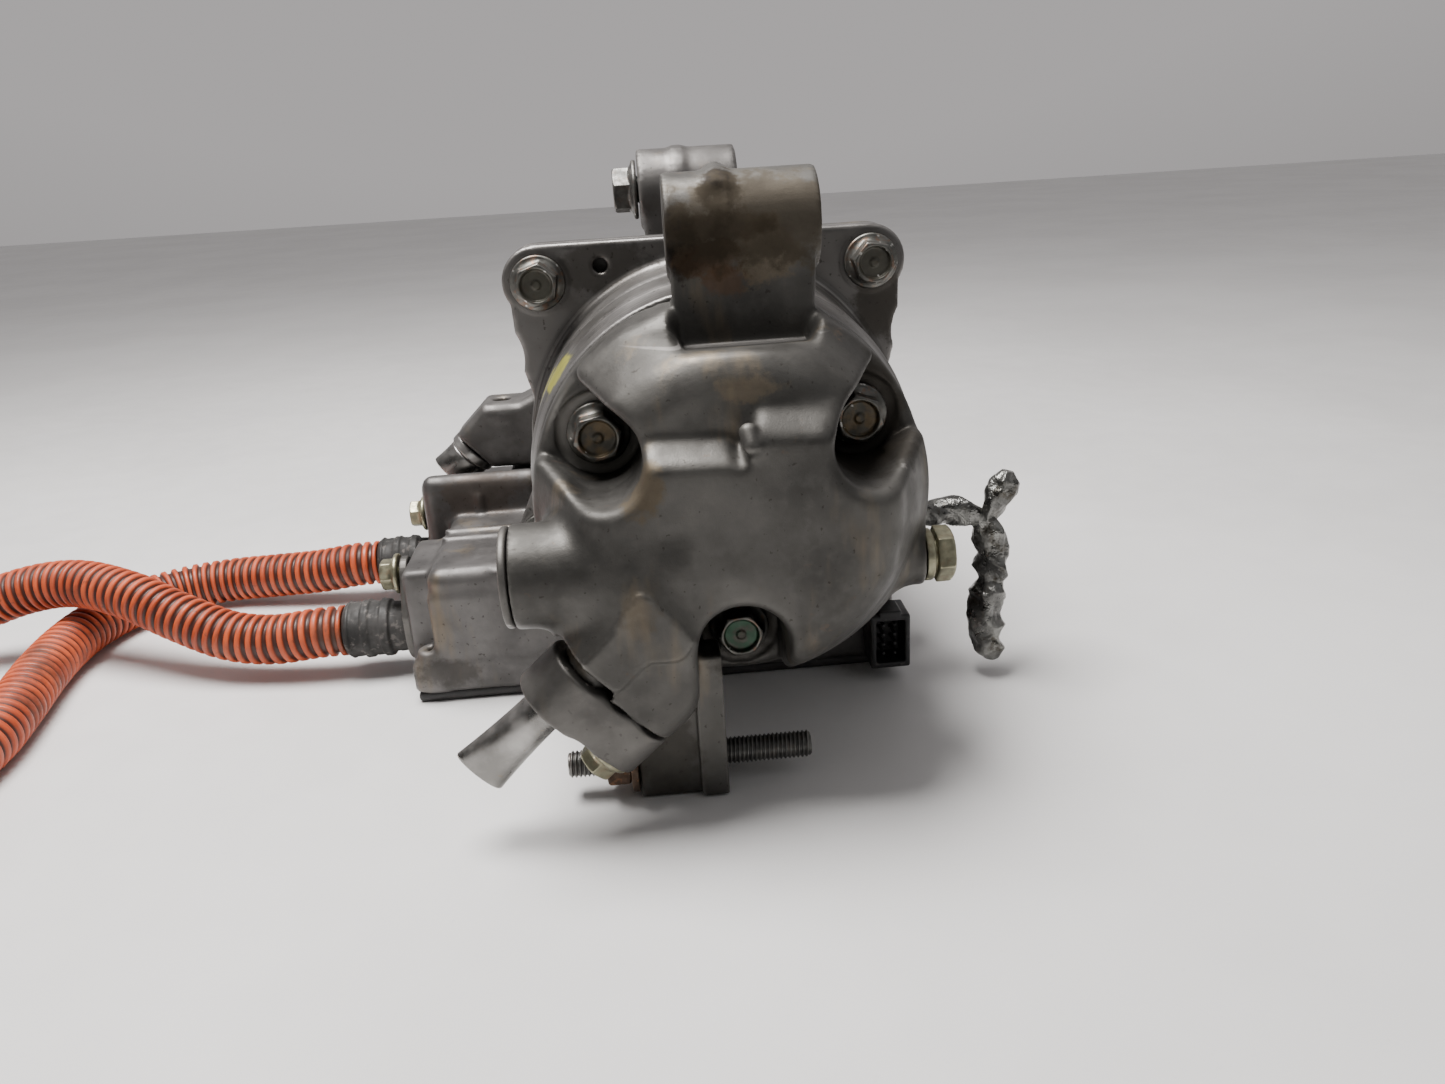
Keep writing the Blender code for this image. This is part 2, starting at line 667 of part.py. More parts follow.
def build_shaft_group():
    build_crankshaft()
    finish(tube("eccentric_bush", 0.0063, 0.0090, 0.0592, 0.0735, ORBIT_R, SHAFT_Z, sides=20), "steel")
    finish(tube("main_bearing_inner_race", 0.0103, 0.0130, 0.0775, 0.0905, sides=20), "steel")
    finish(tube("rear_bearing_inner_race", 0.0083, 0.0103, 0.1668, 0.1765, sides=20), "steel")
    finish(tube("rotor_core", 0.0103, 0.0280, 0.1040, 0.1500, sides=28), "lamination")
    rim = arc((0, SHAFT_Z), 0.0290, 105, 255, 12)
    hub = arc((0, SHAFT_Z), 0.0103, 255, 105, 8)
    finish(plate("balance_weight", [*rim, *hub], "Y", 0.0935, 0.1015), "steel")


def build_stator():
    """A slotted ring of laminations, with a ring of winding at each end."""
    stator = tube("stator_core", 0.0290, 0.0508, 0.1030, 0.1510, sides=36)
    for i in range(12):
        degrees = 30 * i + 15
        x, z = around(0.0365, degrees)
        slot = box(f"slot_{i}", (-0.0065, 0.09, -0.0042), (0.0065, 0.17, 0.0042))
        turn = Matrix.Rotation(-math.radians(degrees), 4, "Y")
        slot.matrix_local = Matrix.Translation((x, 0.127, z)) @ turn
        cut(stator, slot)
    finish(stator, "lamination")
    finish(tube("front_winding", 0.0315, 0.0470, 0.0945, 0.1027, sides=24), "copper")
    finish(tube("rear_winding", 0.0315, 0.0470, 0.1513, 0.1640, sides=24), "copper")


def build_bearings():
    finish(tube("main_bearing_outer_race", 0.0150, 0.0175, 0.0775, 0.0905, sides=20), "steel")
    finish(tube("rear_bearing_outer_race", 0.0120, 0.0140, 0.1668, 0.1765, sides=20), "steel")
    finish(tube("scroll_bearing", 0.0093, 0.0120, 0.0590, 0.0735, ORBIT_R, SHAFT_Z, sides=20), "steel")


# Valves and oil separator


def build_valve():
    """A leaf over the discharge hole, on the front of the fixed scroll, with its curved stop."""
    front = JOINT_Y + 0.0015
    leaf = [*arc((0, SHAFT_Z), 0.0050, -55, 235, 12), (-0.0032, SHAFT_Z - 0.0230), (0.0032, SHAFT_Z - 0.0230)]
    finish(plate("discharge_reed", leaf, "Y", front - 0.0007, front - FIT), "steel")
    stop = [
        (front - 0.0010, SHAFT_Z - 0.0230),
        (front - 0.0010, SHAFT_Z - 0.0170),
        (front - 0.0055, SHAFT_Z + 0.0050),
        (front - 0.0075, SHAFT_Z + 0.0050),
        (front - 0.0035, SHAFT_Z - 0.0170),
        (front - 0.0035, SHAFT_Z - 0.0230),
    ]
    finish(plate("valve_stop", stop, "X", -0.0035, 0.0035), "steel")


def build_separator():
    """The separator tube hangs from its plug in the bore across the left side."""
    y, z = -0.0165, 0.0738
    tube_profile = [(0.0068, 0.0070), (0.0068, 0.0), (0.0045, -0.0020)]
    tube_profile += [(0.0045, -0.0280), (0.0030, -0.0280), (0.0030, 0.0070)]
    tube_part = turned("oil_separator_tube", tube_profile, (-0.0550, y, z), (-1, 0, 0), sides=20, ring=True)
    finish(tube_part, "steel")
    plug = rod("separator_plug", (-0.0655, y, z), (-0.0625, y, z), 0.0098, 0.0098, sides=28)
    finish(plug, "machined")


def build_relief_valve():
    """A hex-headed valve screwed into the right side."""
    profile = [(0, 0.0030), (0.0075, 0.0030), (0.0075, 0.0), (0.0043, 0.0), (0.0043, -0.018), (0, -0.018)]
    valve = turned("relief_valve", profile, (0.0536, 0.003, 0.0625), (1, 0, 0), sides=16)
    join(valve, rod("relief_hex", (0.0550, 0.003, 0.0625), (0.0620, 0.003, 0.0625), 0.0083, sides=6))
    return finish(valve, "zinc")


# Pipes and their fittings


def pinched_pipe(name, start, end, radius, pinch, spread=1.32):
    """A pipe stub whose cut end is squeezed flat and shut."""
    pipe = rod(name, start, end, radius, sides=24)
    length = (Vector(end) - Vector(start)).length
    for vertex in pipe.data.vertices:
        if vertex.co.z > 0:
            vertex.co.x *= pinch
            vertex.co.y *= spread
            vertex.co.z = length / 2
    return finish(pipe, "pipe")


def build_discharge_fitting():
    block = port_block("discharge_fitting", 0, PORT_THICK)
    top = PORT_THICK + 0.001
    ends = [along_port(PORT_BOLT, out) for out in (-0.01, 0.03)]
    cut(block, rod("fitting_bolt_hole", *ends, 0.0033, sides=16))
    ends = [along_port(PORT_PIPE, out) for out in (top - 0.003, 0.03)]
    cut(block, rod("fitting_pipe_hole", *ends, 0.0065))
    finish(block, "cast")
    start, end = along_port(PORT_PIPE, top - 0.0027), along_port(PORT_PIPE, 0.0425)
    pinched_pipe("discharge_pipe", start, end, 0.0060, 0.45)
    seat = along_port(PORT_BOLT, PORT_THICK)
    flange_bolt("discharge_fitting_bolt", seat, PORT_NORMAL, 0.0030, 0.022, 0.010, 0.0066, "zinc")


def build_suction_fitting():
    centre, normal = SUCTION_CENTRE + SUCTION_NORMAL * 0.0004, SUCTION_NORMAL
    finish(rod("suction_fitting", centre, centre + normal * 0.0040, 0.0093), "pipe")
    pinched_pipe("suction_pipe", centre + normal * 0.0043, centre + normal * 0.0185, 0.0084, 0.75, 1.1)


# Mounting hardware


def build_mount_hardware():
    x, y, z = REAR_BOSS
    seat = (x - 0.0175 - FIT - 0.0002, y, z)
    flange_bolt("rear_mount_bolt", seat, (-1, 0, 0), 0.0050, 0.0580, 0.0140, 0.0085)
    x, y, z = STUD
    stud = rod("lower_mount_stud", (x - 0.0335, y, z), (x + 0.0375, y, z), 0.0040, sides=20)
    finish(stud, "steel")
    washer_end = x - 0.0130 - FIT
    washer = rod("lower_mount_washer", (washer_end - 0.0020, y, z), (washer_end, y, z), 0.0094, sides=20)
    cut(washer, rod("washer_hole", (x - 0.03, y, z), (x, y, z), 0.0043, sides=20))
    finish(washer, "steel")
    nut_end = washer_end - 0.0020 - FIT
    nut = rod("lower_mount_nut", (nut_end - 0.0068, y, z), (nut_end, y, z), 0.0075, sides=6)
    cut(nut, rod("nut_hole", (x - 0.04, y, z), (x, y, z), 0.0043, sides=20))
    finish(nut, "rusty")


def build_bolts():
    names = ("left", "right", "lower")
    for name, degrees in zip(names, POCKET_ANGLES):
        x, z = around(POCKET_BOLT_R, degrees)
        flange_bolt(f"{name}_pocket_bolt", (x, SEAT_Y - FIT, z), (0, -1, 0), 0.0040, 0.0185, 0.0120, 0.0077)
    for name, (x, z) in zip(("upper_left", "upper_right", "lower_left", "lower_right"), EAR_BOLTS):
        seat = (x, EAR_FRONT_Y - FIT, z)
        flange_bolt(f"{name}_flange_bolt", seat, (0, -1, 0), 0.0040, 0.0150, 0.0120, 0.0077)


# Inverter electrics


def build_inverter_parts():
    finish(box("control_board", (-0.0960, 0.0660, 0.0100), (-0.0580, 0.1780, 0.0118)), "board")
    finish(box("smoothing_capacitor", (-0.0900, 0.0780, 0.0121), (-0.0620, 0.1300, 0.0330)), "plastic")
    profile = [(0, 0.0300), (0.0030, 0.0300), (0.0030, 0.0262), (0.0080, 0.0262)]
    profile += [(0.0080, 0.0215), (0.0030, 0.0215), (0.0030, 0.0150), (0, 0.0150)]
    finish(turned("hermetic_terminal", profile, (0, 0.1560, 0), (0, 0, 1), sides=20), "steel")


def build_signal_connector():
    """The low-voltage socket: a housing with its mouth towards the front."""
    socket = box("signal_connector", (0.0470, 0.0440, 0.0050), (0.0605, CASE_Y[0] - FIT, 0.0245))
    cut(socket, box("connector_mouth", (0.0488, 0.0400, 0.0070), (0.0587, 0.0540, 0.0225)))
    return finish(socket, "plastic")


def build_gland(side, centre, height):
    """A clamp plate with one bolt above the lead, and the boot that covers the lead's end."""
    x, y, z = centre
    outline = [
        *arc((y, z), 0.0122, 180, 360, 8),
        (y + 0.0122, z + 0.008),
        *arc((y, z + height), 0.0062, 0, 180, 6),
        (y - 0.0122, z + 0.008),
    ]
    gland = plate(f"{side}_gland_plate", outline, "X", x - 0.0032 - FIT, x - FIT)
    cut(gland, rod(f"{side}_plate_bore", (x - 0.02, y, z), (x + 0.01, y, z), 0.0082, sides=20))
    ends = [(x + reach, y, z + height) for reach in (-0.02, 0.01)]
    cut(gland, rod(f"{side}_plate_hole", *ends, 0.0033, sides=12))
    finish(gland, "cast")
    seat = (x - 0.0032 - 2 * FIT, y, z + height)
    flange_bolt(f"{side}_gland_bolt", seat, (-1, 0, 0), 0.0030, 0.0085, 0.0100, 0.0066, "zinc")


def build_boot(side, centre):
    """A rubber sleeve from the gland to the first ribs of the conduit."""
    x, y, z = centre
    profile = [
        (0.0000, 0.0260),
        (0.0088, 0.0260),
        (0.0103, 0.0240),
        (0.0103, 0.0110),
        (0.0092, 0.0090),
        (0.0092, 0.0036),
        (0.0079, 0.0036),
        (0.0079, -0.0060),
        (0.0, -0.0060),
    ]
    boot = turned(f"{side}_lead_boot", profile, (x, y, z), (-1, 0, 0), sides=16)
    return finish(boot, "rubber")


FRONT_ROUTE = (
    (-0.1386, 0.0880, 0.0170),
    (-0.1490, 0.0880, 0.0168),
    (-0.1660, 0.0898, 0.0150),
    (-0.1830, 0.0935, 0.0165),
    (-0.2020, 0.1010, 0.0220),
    (-0.2240, 0.1120, 0.0285),
    (-0.2470, 0.1225, 0.0310),
    (-0.2690, 0.1262, 0.0285),
    (-0.2920, 0.1235, 0.0220),
    (-0.3150, 0.1130, 0.0150),
    (-0.3350, 0.0960, 0.0110),
    (-0.3500, 0.0750, 0.0102),
    (-0.3580, 0.0500, 0.0100),
)
REAR_ROUTE = (
    (-0.1416, 0.1600, 0.0160),
    (-0.1520, 0.1600, 0.0158),
    (-0.1680, 0.1620, 0.0135),
    (-0.1880, 0.1655, 0.0118),
    (-0.2080, 0.1680, 0.0105),
    (-0.2270, 0.1640, 0.0098),
    (-0.2420, 0.1510, 0.0096),
    (-0.2500, 0.1320, 0.0096),
    (-0.2520, 0.1110, 0.0096),
    (-0.2500, 0.0880, 0.0096),
    (-0.2460, 0.0640, 0.0096),
    (-0.2430, 0.0400, 0.0096),
    (-0.2450, 0.0150, 0.0096),
    (-0.2540, -0.0080, 0.0096),
    (-0.2690, -0.0280, 0.0096),
)
LEAD_ROUTE = (
    (0.0603, 0.0500, 0.0580),
    (0.0680, 0.0500, 0.0582),
    (0.0760, 0.0498, 0.0582),
    (0.0835, 0.0494, 0.0560),
    (0.0880, 0.0488, 0.0500),
    (0.0890, 0.0480, 0.0420),
    (0.0880, 0.0472, 0.0330),
    (0.0870, 0.0462, 0.0240),
    (0.0872, 0.0450, 0.0150),
    (0.0885, 0.0438, 0.0060),
)


def build_lead_connector(side, route):
    """The plug on a lead's far end: a collar round the conduit, and a body with a latch rib."""
    end, before = Vector(route[-1]), Vector(route[-2])
    ahead = (end - before).normalized()
    ahead.z = 0
    ahead.normalize()
    start = end + ahead * 2 * FIT
    collar = rod(f"{side}_lead_connector", start, start + ahead * 0.012, 0.0096, sides=24)
    across = ahead.cross(Vector((0, 0, 1))).normalized()
    turn = Matrix((ahead, across, (0, 0, 1))).transposed().to_4x4()
    body = box(f"{side}_plug_body", (-0.0190, -0.0120, -0.0095), (0.0190, 0.0120, 0.0095))
    body.matrix_local = Matrix.Translation(start + ahead * 0.0295) @ turn
    rib = box(f"{side}_latch_rib", (-0.0120, -0.0035, -0.0020), (0.0120, 0.0035, 0.0020))
    rib.matrix_local = Matrix.Translation(start + ahead * 0.0295 + Vector((0, 0, 0.0105))) @ turn
    join(collar, body, rib)
    return finish(collar, "orange")


def build_leads():
    for side, route in (("front", FRONT_ROUTE), ("rear", REAR_ROUTE)):
        finish(cable(f"{side}_conduit", smooth_route(route, 2), CONDUIT_R), "orange")
        build_lead_connector(side, route)
    finish(cable("signal_lead", smooth_route(LEAD_ROUTE, 1), LEAD_R), "foil")


def build_compressor():
    build_discharge_housing()
    finish(tube("discharge_gasket", 0.0285, 0.0365, JOINT_Y + FIT, JOINT_Y + 0.0009, sides=28), "gasket")
    build_scroll_housing()
    build_motor_housing()
    build_inverter_case()
    build_inverter_cover()
    build_fixed_scroll()
    build_orbiting_scroll()
    build_anti_rotation_pins()
    build_main_frame()
    build_shaft_group()
    build_stator()
    build_bearings()
    build_valve()
    build_separator()
    build_relief_valve()
    build_discharge_fitting()
    build_suction_fitting()
    build_mount_hardware()
    build_bolts()
    build_inverter_parts()
    build_signal_connector()
    build_gland("front", FRONT_GLAND, GLAND_BOLT_UP)
    build_gland("rear", REAR_GLAND, GLAND_BOLT_UP)
    build_boot("front", FRONT_GLAND)
    build_boot("rear", REAR_GLAND)
    build_leads()
    shaft = ("crankshaft", "eccentric_bush", "rotor_core")
    shaft += ("main_bearing_inner_race", "rear_bearing_inner_race")
    turn_with(axis_empty("shaft_axis", (0, 0, SHAFT_Z)), *shaft, "balance_weight")
    pins = [f"anti_rotation_pin_{i + 1}" for i in range(3)]
    turn_with(axis_empty("orbit_axis", (ORBIT_R, 0, SHAFT_Z)), "orbiting_scroll", "scroll_bearing", *pins)
    turn_with(axis_empty("reed_axis", (0, JOINT_Y + 0.0012, SHAFT_Z - 0.0230)), "discharge_reed")


build_compressor()
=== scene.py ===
"""Looks of an electric scroll compressor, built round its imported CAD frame.

Shapes are drawn in metres in the shaft frame, as the CAD is: X = 0 on the shaft axis, Y from the discharge
end to the motor end, Z = 0 on the table. ORIGIN moves that frame into the world. Castings are distance fields
on voxels, so that their shapes run into each other through real fillets. Tubes and threads are swept rings.
"""

import math

import bpy
import numpy as np
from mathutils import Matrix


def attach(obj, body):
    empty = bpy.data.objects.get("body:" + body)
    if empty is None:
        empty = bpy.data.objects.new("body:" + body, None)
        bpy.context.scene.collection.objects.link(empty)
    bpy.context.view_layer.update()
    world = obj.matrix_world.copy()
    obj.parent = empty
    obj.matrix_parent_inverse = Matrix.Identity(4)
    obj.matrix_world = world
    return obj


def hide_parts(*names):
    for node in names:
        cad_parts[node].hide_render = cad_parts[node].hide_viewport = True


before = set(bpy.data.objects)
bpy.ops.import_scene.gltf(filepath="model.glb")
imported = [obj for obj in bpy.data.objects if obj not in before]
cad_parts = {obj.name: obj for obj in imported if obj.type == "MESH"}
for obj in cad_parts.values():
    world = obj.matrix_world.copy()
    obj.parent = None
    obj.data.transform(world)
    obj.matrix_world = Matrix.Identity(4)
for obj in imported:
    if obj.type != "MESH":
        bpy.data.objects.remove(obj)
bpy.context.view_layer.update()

import openvdb
from mathutils import Matrix, Vector, noise

ORIGIN = Vector((0.0278, -0.0746, 0.0))
SHAFT_Z = 0.084


# Camera, light and floor


def make_camera():
    data = bpy.data.cameras.new("camera")
    data.lens = 27.06
    data.sensor_width = 36
    data.clip_start = 0.01
    camera = bpy.data.objects.new("camera", data)
    bpy.context.scene.collection.objects.link(camera)
    pan, tilt, roll = math.radians(-3.3), math.radians(69.5), math.radians(-3.5)
    turn = Matrix.Rotation(pan, 4, "Z") @ Matrix.Rotation(tilt, 4, "X") @ Matrix.Rotation(roll, 4, "Z")
    camera.matrix_world = Matrix.Translation((0.0075, -0.3592, 0.179)) @ turn
    bpy.context.scene.camera = camera


def area_light(name, place, target, size, power, colour=(1, 1, 1)):
    data = bpy.data.lights.new(name, "AREA")
    data.shape = "DISK"
    data.size = size
    data.energy = power
    data.color = colour
    light = bpy.data.objects.new(name, data)
    light.location = place
    light.rotation_euler = (Vector(target) - Vector(place)).to_track_quat("-Z", "Y").to_euler()
    bpy.context.scene.collection.objects.link(light)


def make_studio():
    area_light("overhead", (-0.18, 0.02, 0.82), (-0.04, 0.03, 0.05), 0.50, 17, (1.0, 0.975, 0.955))
    area_light("fill", (0.9, -0.9, 0.8), (0, 0, 0.08), 1.0, 1.0, (0.95, 0.97, 1.0))
    world = bpy.data.worlds.new("studio")
    bpy.context.scene.world = world
    world.use_nodes = True
    tree = world.node_tree
    place = tree.nodes.new("ShaderNodeTexCoord").outputs["Generated"]
    lit = tree.nodes.new("ShaderNodeVectorMath")
    lit.operation = "DOT_PRODUCT"
    lit.inputs[1].default_value = (0.0, 0.50, 0.62)
    ramp = tree.nodes.new("ShaderNodeValToRGB")
    dark, pale = ramp.color_ramp.elements
    dark.position, dark.color = 0.0, (0.115, 0.113, 0.110, 1)
    pale.position, pale.color = 0.48, (0.46, 0.44, 0.44, 1)
    tree.links.new(place, lit.inputs[0])
    tree.links.new(lit.outputs["Value"], ramp.inputs[0])
    tree.links.new(ramp.outputs[0], tree.nodes["Background"].inputs["Color"])


# Materials: each look is a small node tree in object space, so that its marks stay on the metal


class Look:
    """A material whose colour is laid on in layers."""

    def __init__(self, name, metallic=0.0):
        self.material = bpy.data.materials.new(name)
        self.material.use_nodes = True
        self.tree = self.material.node_tree
        self.shader = self.tree.nodes["Principled BSDF"]
        self.shader.inputs["Metallic"].default_value = metallic
        self.place = self.tree.nodes.new("ShaderNodeTexCoord").outputs["Object"]
        self.colour = None

    def put(self, value, socket):
        if isinstance(value, bpy.types.NodeSocket):
            self.tree.links.new(value, socket)
        elif socket.type == "RGBA":
            socket.default_value = (*value, 1)
        else:
            socket.default_value = value

    def node(self, kind, values, **settings):
        """The first output of a new node, with its inputs set or linked by number."""
        node = self.tree.nodes.new("ShaderNode" + kind)
        for name, setting in settings.items():
            setattr(node, name, setting)
        for number, value in values.items():
            self.put(value, node.inputs[number])
        return node.outputs[0]

    def noise(self, scale, detail=4.0, roughness=0.55, stretch=None):
        place = self.node("Mapping", {0: self.place, "Scale": stretch}) if stretch else self.place
        inputs = {"Vector": place, "Scale": scale, "Detail": detail, "Roughness": roughness}
        return self.node("TexNoise", inputs)

    def math(self, operation, first, second=0.0):
        return self.node("Math", {0: first, 1: second}, operation=operation)

    def band(self, value, low, high, start=0.0, end=1.0):
        """The value eased from low to high into start to end."""
        inputs = dict(enumerate((value, low, high, start, end)))
        return self.node("MapRange", inputs, interpolation_type="SMOOTHSTEP")

    def patches(self, scale, low, high, start=0.0, end=1.0, detail=4.0, roughness=0.55, stretch=None):
        """Noise, eased like a band."""
        return self.band(self.noise(scale, detail, roughness, stretch), low, high, start, end)

    def mottle(self, scale, smooth, rough, detail=4.0):
        """Roughness that drifts between two values."""
        return self.patches(scale, 0.3, 0.7, smooth, rough, detail)

    def mix(self, share, first, second):
        mixed = self.node("Mix", {0: share, 6: first, 7: second}, data_type="RGBA")
        return mixed.node.outputs[2]

    def base(self, share, first, second):
        self.colour = self.mix(share, first, second)

    def cover(self, share, tint):
        self.colour = self.mix(share, self.colour, tint)

    def spots(self, scale, low, high, amount, tint, detail=4.0, roughness=0.55, stretch=None):
        """Covers patches of the colour with a tint, and returns their share."""
        share = self.patches(scale, low, high, 0, amount, detail, roughness, stretch)
        self.cover(share, tint)
        return share

    def blot(self, centre, size, ragged):
        """1 inside an ellipsoid in the shaft frame and 0 outside, with a ragged rim."""
        away = self.node("VectorMath", {0: self.place, 1: Vector(centre) + ORIGIN}, operation="SUBTRACT")
        scaled = self.node("VectorMath", {0: away, 1: size}, operation="DIVIDE")
        length = self.node("VectorMath", {0: scaled}, operation="LENGTH").node.outputs["Value"]
        rim = {0: self.noise(160.0, 5.0, 0.65), 1: 2 * ragged, 2: -ragged}
        rim = self.node("Math", rim, operation="MULTIPLY_ADD")
        return self.band(self.math("ADD", length, rim), 1.25, 0.75)

    def attribute(self, name):
        return self.node("Attribute", {}, attribute_name=name).node.outputs["Fac"]

    def edges(self, low, high, amount=1.0):
        """The share of worn outer edges, or, where low is over high, of concave corners that get painted
        shade.
        """
        return self.band(self.node("NewGeometry", {}).node.outputs["Pointiness"], low, high, 0, amount)

    def bump(self, height, strength, distance):
        normal = self.shader.inputs["Normal"]
        inputs = {"Strength": strength, "Distance": distance, "Height": height}
        if normal.is_linked:
            inputs["Normal"] = normal.links[0].from_socket
        self.put(self.node("Bump", inputs), normal)

    def finish(self, roughness, metallic=None):
        self.put(self.colour, self.shader.inputs["Base Color"])
        self.put(roughness, self.shader.inputs["Roughness"])
        if metallic is not None:
            self.put(metallic, self.shader.inputs["Metallic"])
        return self.material


BROWN = (0.085, 0.055, 0.035)
SOOT = (0.018, 0.014, 0.011)
RUST = (0.22, 0.10, 0.045)
# OIL_AND_SHADE is the colour of oil stains, and also of painted shade in corners and bolt pockets.
OIL_AND_SHADE = (0.035, 0.030, 0.024)
TAN = (0.23, 0.18, 0.115)


def scaled(tone, factor, lift=0.0):
    return [min(1, c * factor + lift) for c in tone]


def cast_metal(name, tone=(0.088, 0.085, 0.079), marks=(), dirt=1.0):
    """Bead-blasted die casting: grainy, blotched, stained by drips, with painted shade in its corners and
    bright on edges.
    """
    look = Look(name)
    look.base(look.patches(28, 0.35, 0.68, detail=5.0), scaled(tone, 0.70), scaled(tone, 1.22))
    look.spots(240, 0.45, 0.75, 0.35, scaled(tone, 1.22), 3.0)
    look.spots(60, 0.56, 0.74, 0.45 * dirt, TAN, 4.0, 0.6, (1.0, 1.0, 0.22))
    spots = look.spots(130, 0.63, 0.74, 0.65 * dirt, BROWN, 5.0, 0.7)
    look.spots(620, 0.66, 0.76, 0.5 * dirt, SOOT, 2.0, 0.5)
    look.cover(look.edges(0.52, 0.60), scaled(tone, 2.4))
    # Painted shade: concave corners, found by pointiness, are darkened with the oil-and-shade colour.
    look.cover(look.edges(0.485, 0.40, 0.55), OIL_AND_SHADE)
    rough = look.mottle(90, 0.40, 0.60)
    for centre, size, tint, share, ragged in marks:
        spot = look.blot(centre, size, ragged)
        look.cover(look.math("MULTIPLY", spot, share), tint)
        rough = look.math("ADD", rough, look.math("MULTIPLY", spot, 0.2 * share))
    look.bump(look.noise(2600, 2.0, 0.6), 0.25, 0.0001)
    look.bump(look.noise(420, 3.0, 0.6), 0.35, 0.00018)
    return look.finish(rough, look.math("SUBTRACT", 0.78, look.math("MULTIPLY", spots, 0.5)))


def machined_metal(name, marks=()):
    """Turned metal: fine rings round the shaft, dulled in bands and freckled with oxide."""
    look = Look(name, 0.85)
    rings = look.noise(40, 3.0, 0.7, (0.02, 40.0, 0.02))
    look.base(look.band(rings, 0.35, 0.65), (0.10, 0.096, 0.092), (0.20, 0.192, 0.185))
    look.spots(45, 0.45, 0.72, 0.6, (0.075, 0.070, 0.062), 5.0)
    look.spots(500, 0.62, 0.72, 0.6, SOOT, 3.0)
    look.cover(look.edges(0.52, 0.60), (0.42, 0.41, 0.40))
    for centre, size, tint, share, ragged in marks:
        look.cover(look.math("MULTIPLY", look.blot(centre, size, ragged), share), tint)
    look.bump(rings, 0.30, 0.00015)
    look.bump(look.noise(900, 2.0), 0.15, 0.0001)
    return look.finish(look.mottle(70, 0.32, 0.52))


def plain_steel(name, tone=(0.34, 0.34, 0.33), rust=0.35, roughness=0.38):
    """Plated steel fasteners, dulled, with brown oxide in patches."""
    look = Look(name)
    look.base(look.patches(260, 0.35, 0.7), scaled(tone, 0.6), tone)
    patches = look.spots(380, 0.50, 0.66, rust, RUST, 5.0, 0.7)
    look.cover(look.edges(0.52, 0.62), scaled(tone, 1.9))
    look.bump(look.noise(1800, 3.0, 0.6), 0.3, 0.0001)
    rough = look.mottle(500, roughness - 0.08, roughness + 0.14)
    return look.finish(rough, look.math("SUBTRACT", 0.92, look.math("MULTIPLY", patches, 0.8)))


def dished_steel(name, centre_tint, share):
    """A bolt head whose dish, marked by an attribute, holds paint or dried oil."""
    look = Look(name)
    tone = (0.17, 0.168, 0.155)
    look.base(look.patches(300, 0.35, 0.7), scaled(tone, 0.6), tone)
    look.spots(420, 0.52, 0.66, 0.4, RUST, 5.0)
    dish = look.math("MULTIPLY", look.attribute("dish"), 0.86)
    look.cover(dish, (0.045, 0.042, 0.030))
    paint = look.patches(230, 0.40, 0.60, 0, share, 5.0)
    look.cover(look.math("MULTIPLY", paint, dish), centre_tint)
    look.cover(look.edges(0.53, 0.62), (0.46, 0.455, 0.43))
    look.bump(look.noise(1500, 3.0, 0.6), 0.3, 0.0001)
    metallic = look.math("SUBTRACT", 0.9, look.math("MULTIPLY", dish, 0.6))
    return look.finish(look.mottle(400, 0.30, 0.48), metallic)


def bare_pipe(name):
    look = Look(name, 1.0)
    look.base(look.patches(80, 0.35, 0.7), (0.20, 0.195, 0.185), (0.42, 0.41, 0.395))
    look.spots(300, 0.60, 0.72, 0.6, TAN, 5.0, 0.7)
    look.bump(look.noise(90, 4.0, 0.7, (8.0, 1.0, 1.0)), 0.2, 0.0002)
    look.bump(look.noise(1500), 0.15, 0.0001)
    return look.finish(look.mottle(160, 0.26, 0.46))


def ribbed_orange(name):
    """Orange conduit with painted shade in its grooves: the ribs' attribute is 1 on the crowns and 0 in the
    grooves.
    """
    look = Look(name)
    crown = look.mix(look.patches(70, 0.35, 0.7), (0.40, 0.060, 0.018), (0.62, 0.110, 0.035))
    # Painted shade: the grooves between the ribs are coloured a near-black orange.
    look.base(look.band(look.attribute("rib"), 0.20, 0.85), (0.045, 0.011, 0.006), crown)
    look.spots(34, 0.50, 0.68, 0.75, (0.075, 0.030, 0.018), 5.0, 0.65)
    look.spots(420, 0.60, 0.72, 0.55, (0.06, 0.035, 0.025), 4.0, 0.7)
    look.bump(look.noise(1200, 3.0), 0.25, 0.0001)
    return look.finish(look.mottle(150, 0.38, 0.62))


def dull_rubber(name, tone):
    look = Look(name)
    look.base(look.patches(90, 0.35, 0.7, detail=5.0), scaled(tone, 0.55), scaled(tone, 2.1))
    look.spots(350, 0.55, 0.7, 0.5, (0.20, 0.18, 0.165))
    look.bump(look.noise(900), 0.4, 0.0002)
    return look.finish(look.mottle(200, 0.55, 0.85))


def moulded_plastic(name, tone, shine=0.42):
    look = Look(name)
    look.base(look.patches(70, 0.35, 0.7), scaled(tone, 0.7), scaled(tone, 1.3))
    look.spots(420, 0.60, 0.72, 0.35, (0.14, 0.125, 0.11), 5.0)
    look.cover(look.edges(0.53, 0.62), scaled(tone, 2.0, 0.02))
    look.bump(look.noise(1600, 2.0), 0.2, 0.00008)
    return look.finish(look.mottle(140, shine - 0.08, shine + 0.15))


def crumpled_foil(name):
    look = Look(name, 1.0)
    look.base(look.patches(90, 0.35, 0.7, detail=5.0), (0.13, 0.13, 0.125), (0.34, 0.34, 0.32))
    look.spots(160, 0.50, 0.66, 0.8, (0.050, 0.042, 0.030), 5.0, 0.7)
    look.bump(look.noise(330, 3.0, 0.75), 0.8, 0.0008)
    return look.finish(look.mottle(220, 0.22, 0.45))


def varnished_copper(name):
    look = Look(name, 0.7)
    strands = look.noise(300, 3.0, 0.6, (1.0, 0.15, 1.0))
    look.base(look.band(strands, 0.35, 0.65), (0.30, 0.10, 0.035), (0.72, 0.34, 0.13))
    look.bump(strands, 0.8, 0.0006)
    return look.finish(look.mottle(90, 0.30, 0.45))


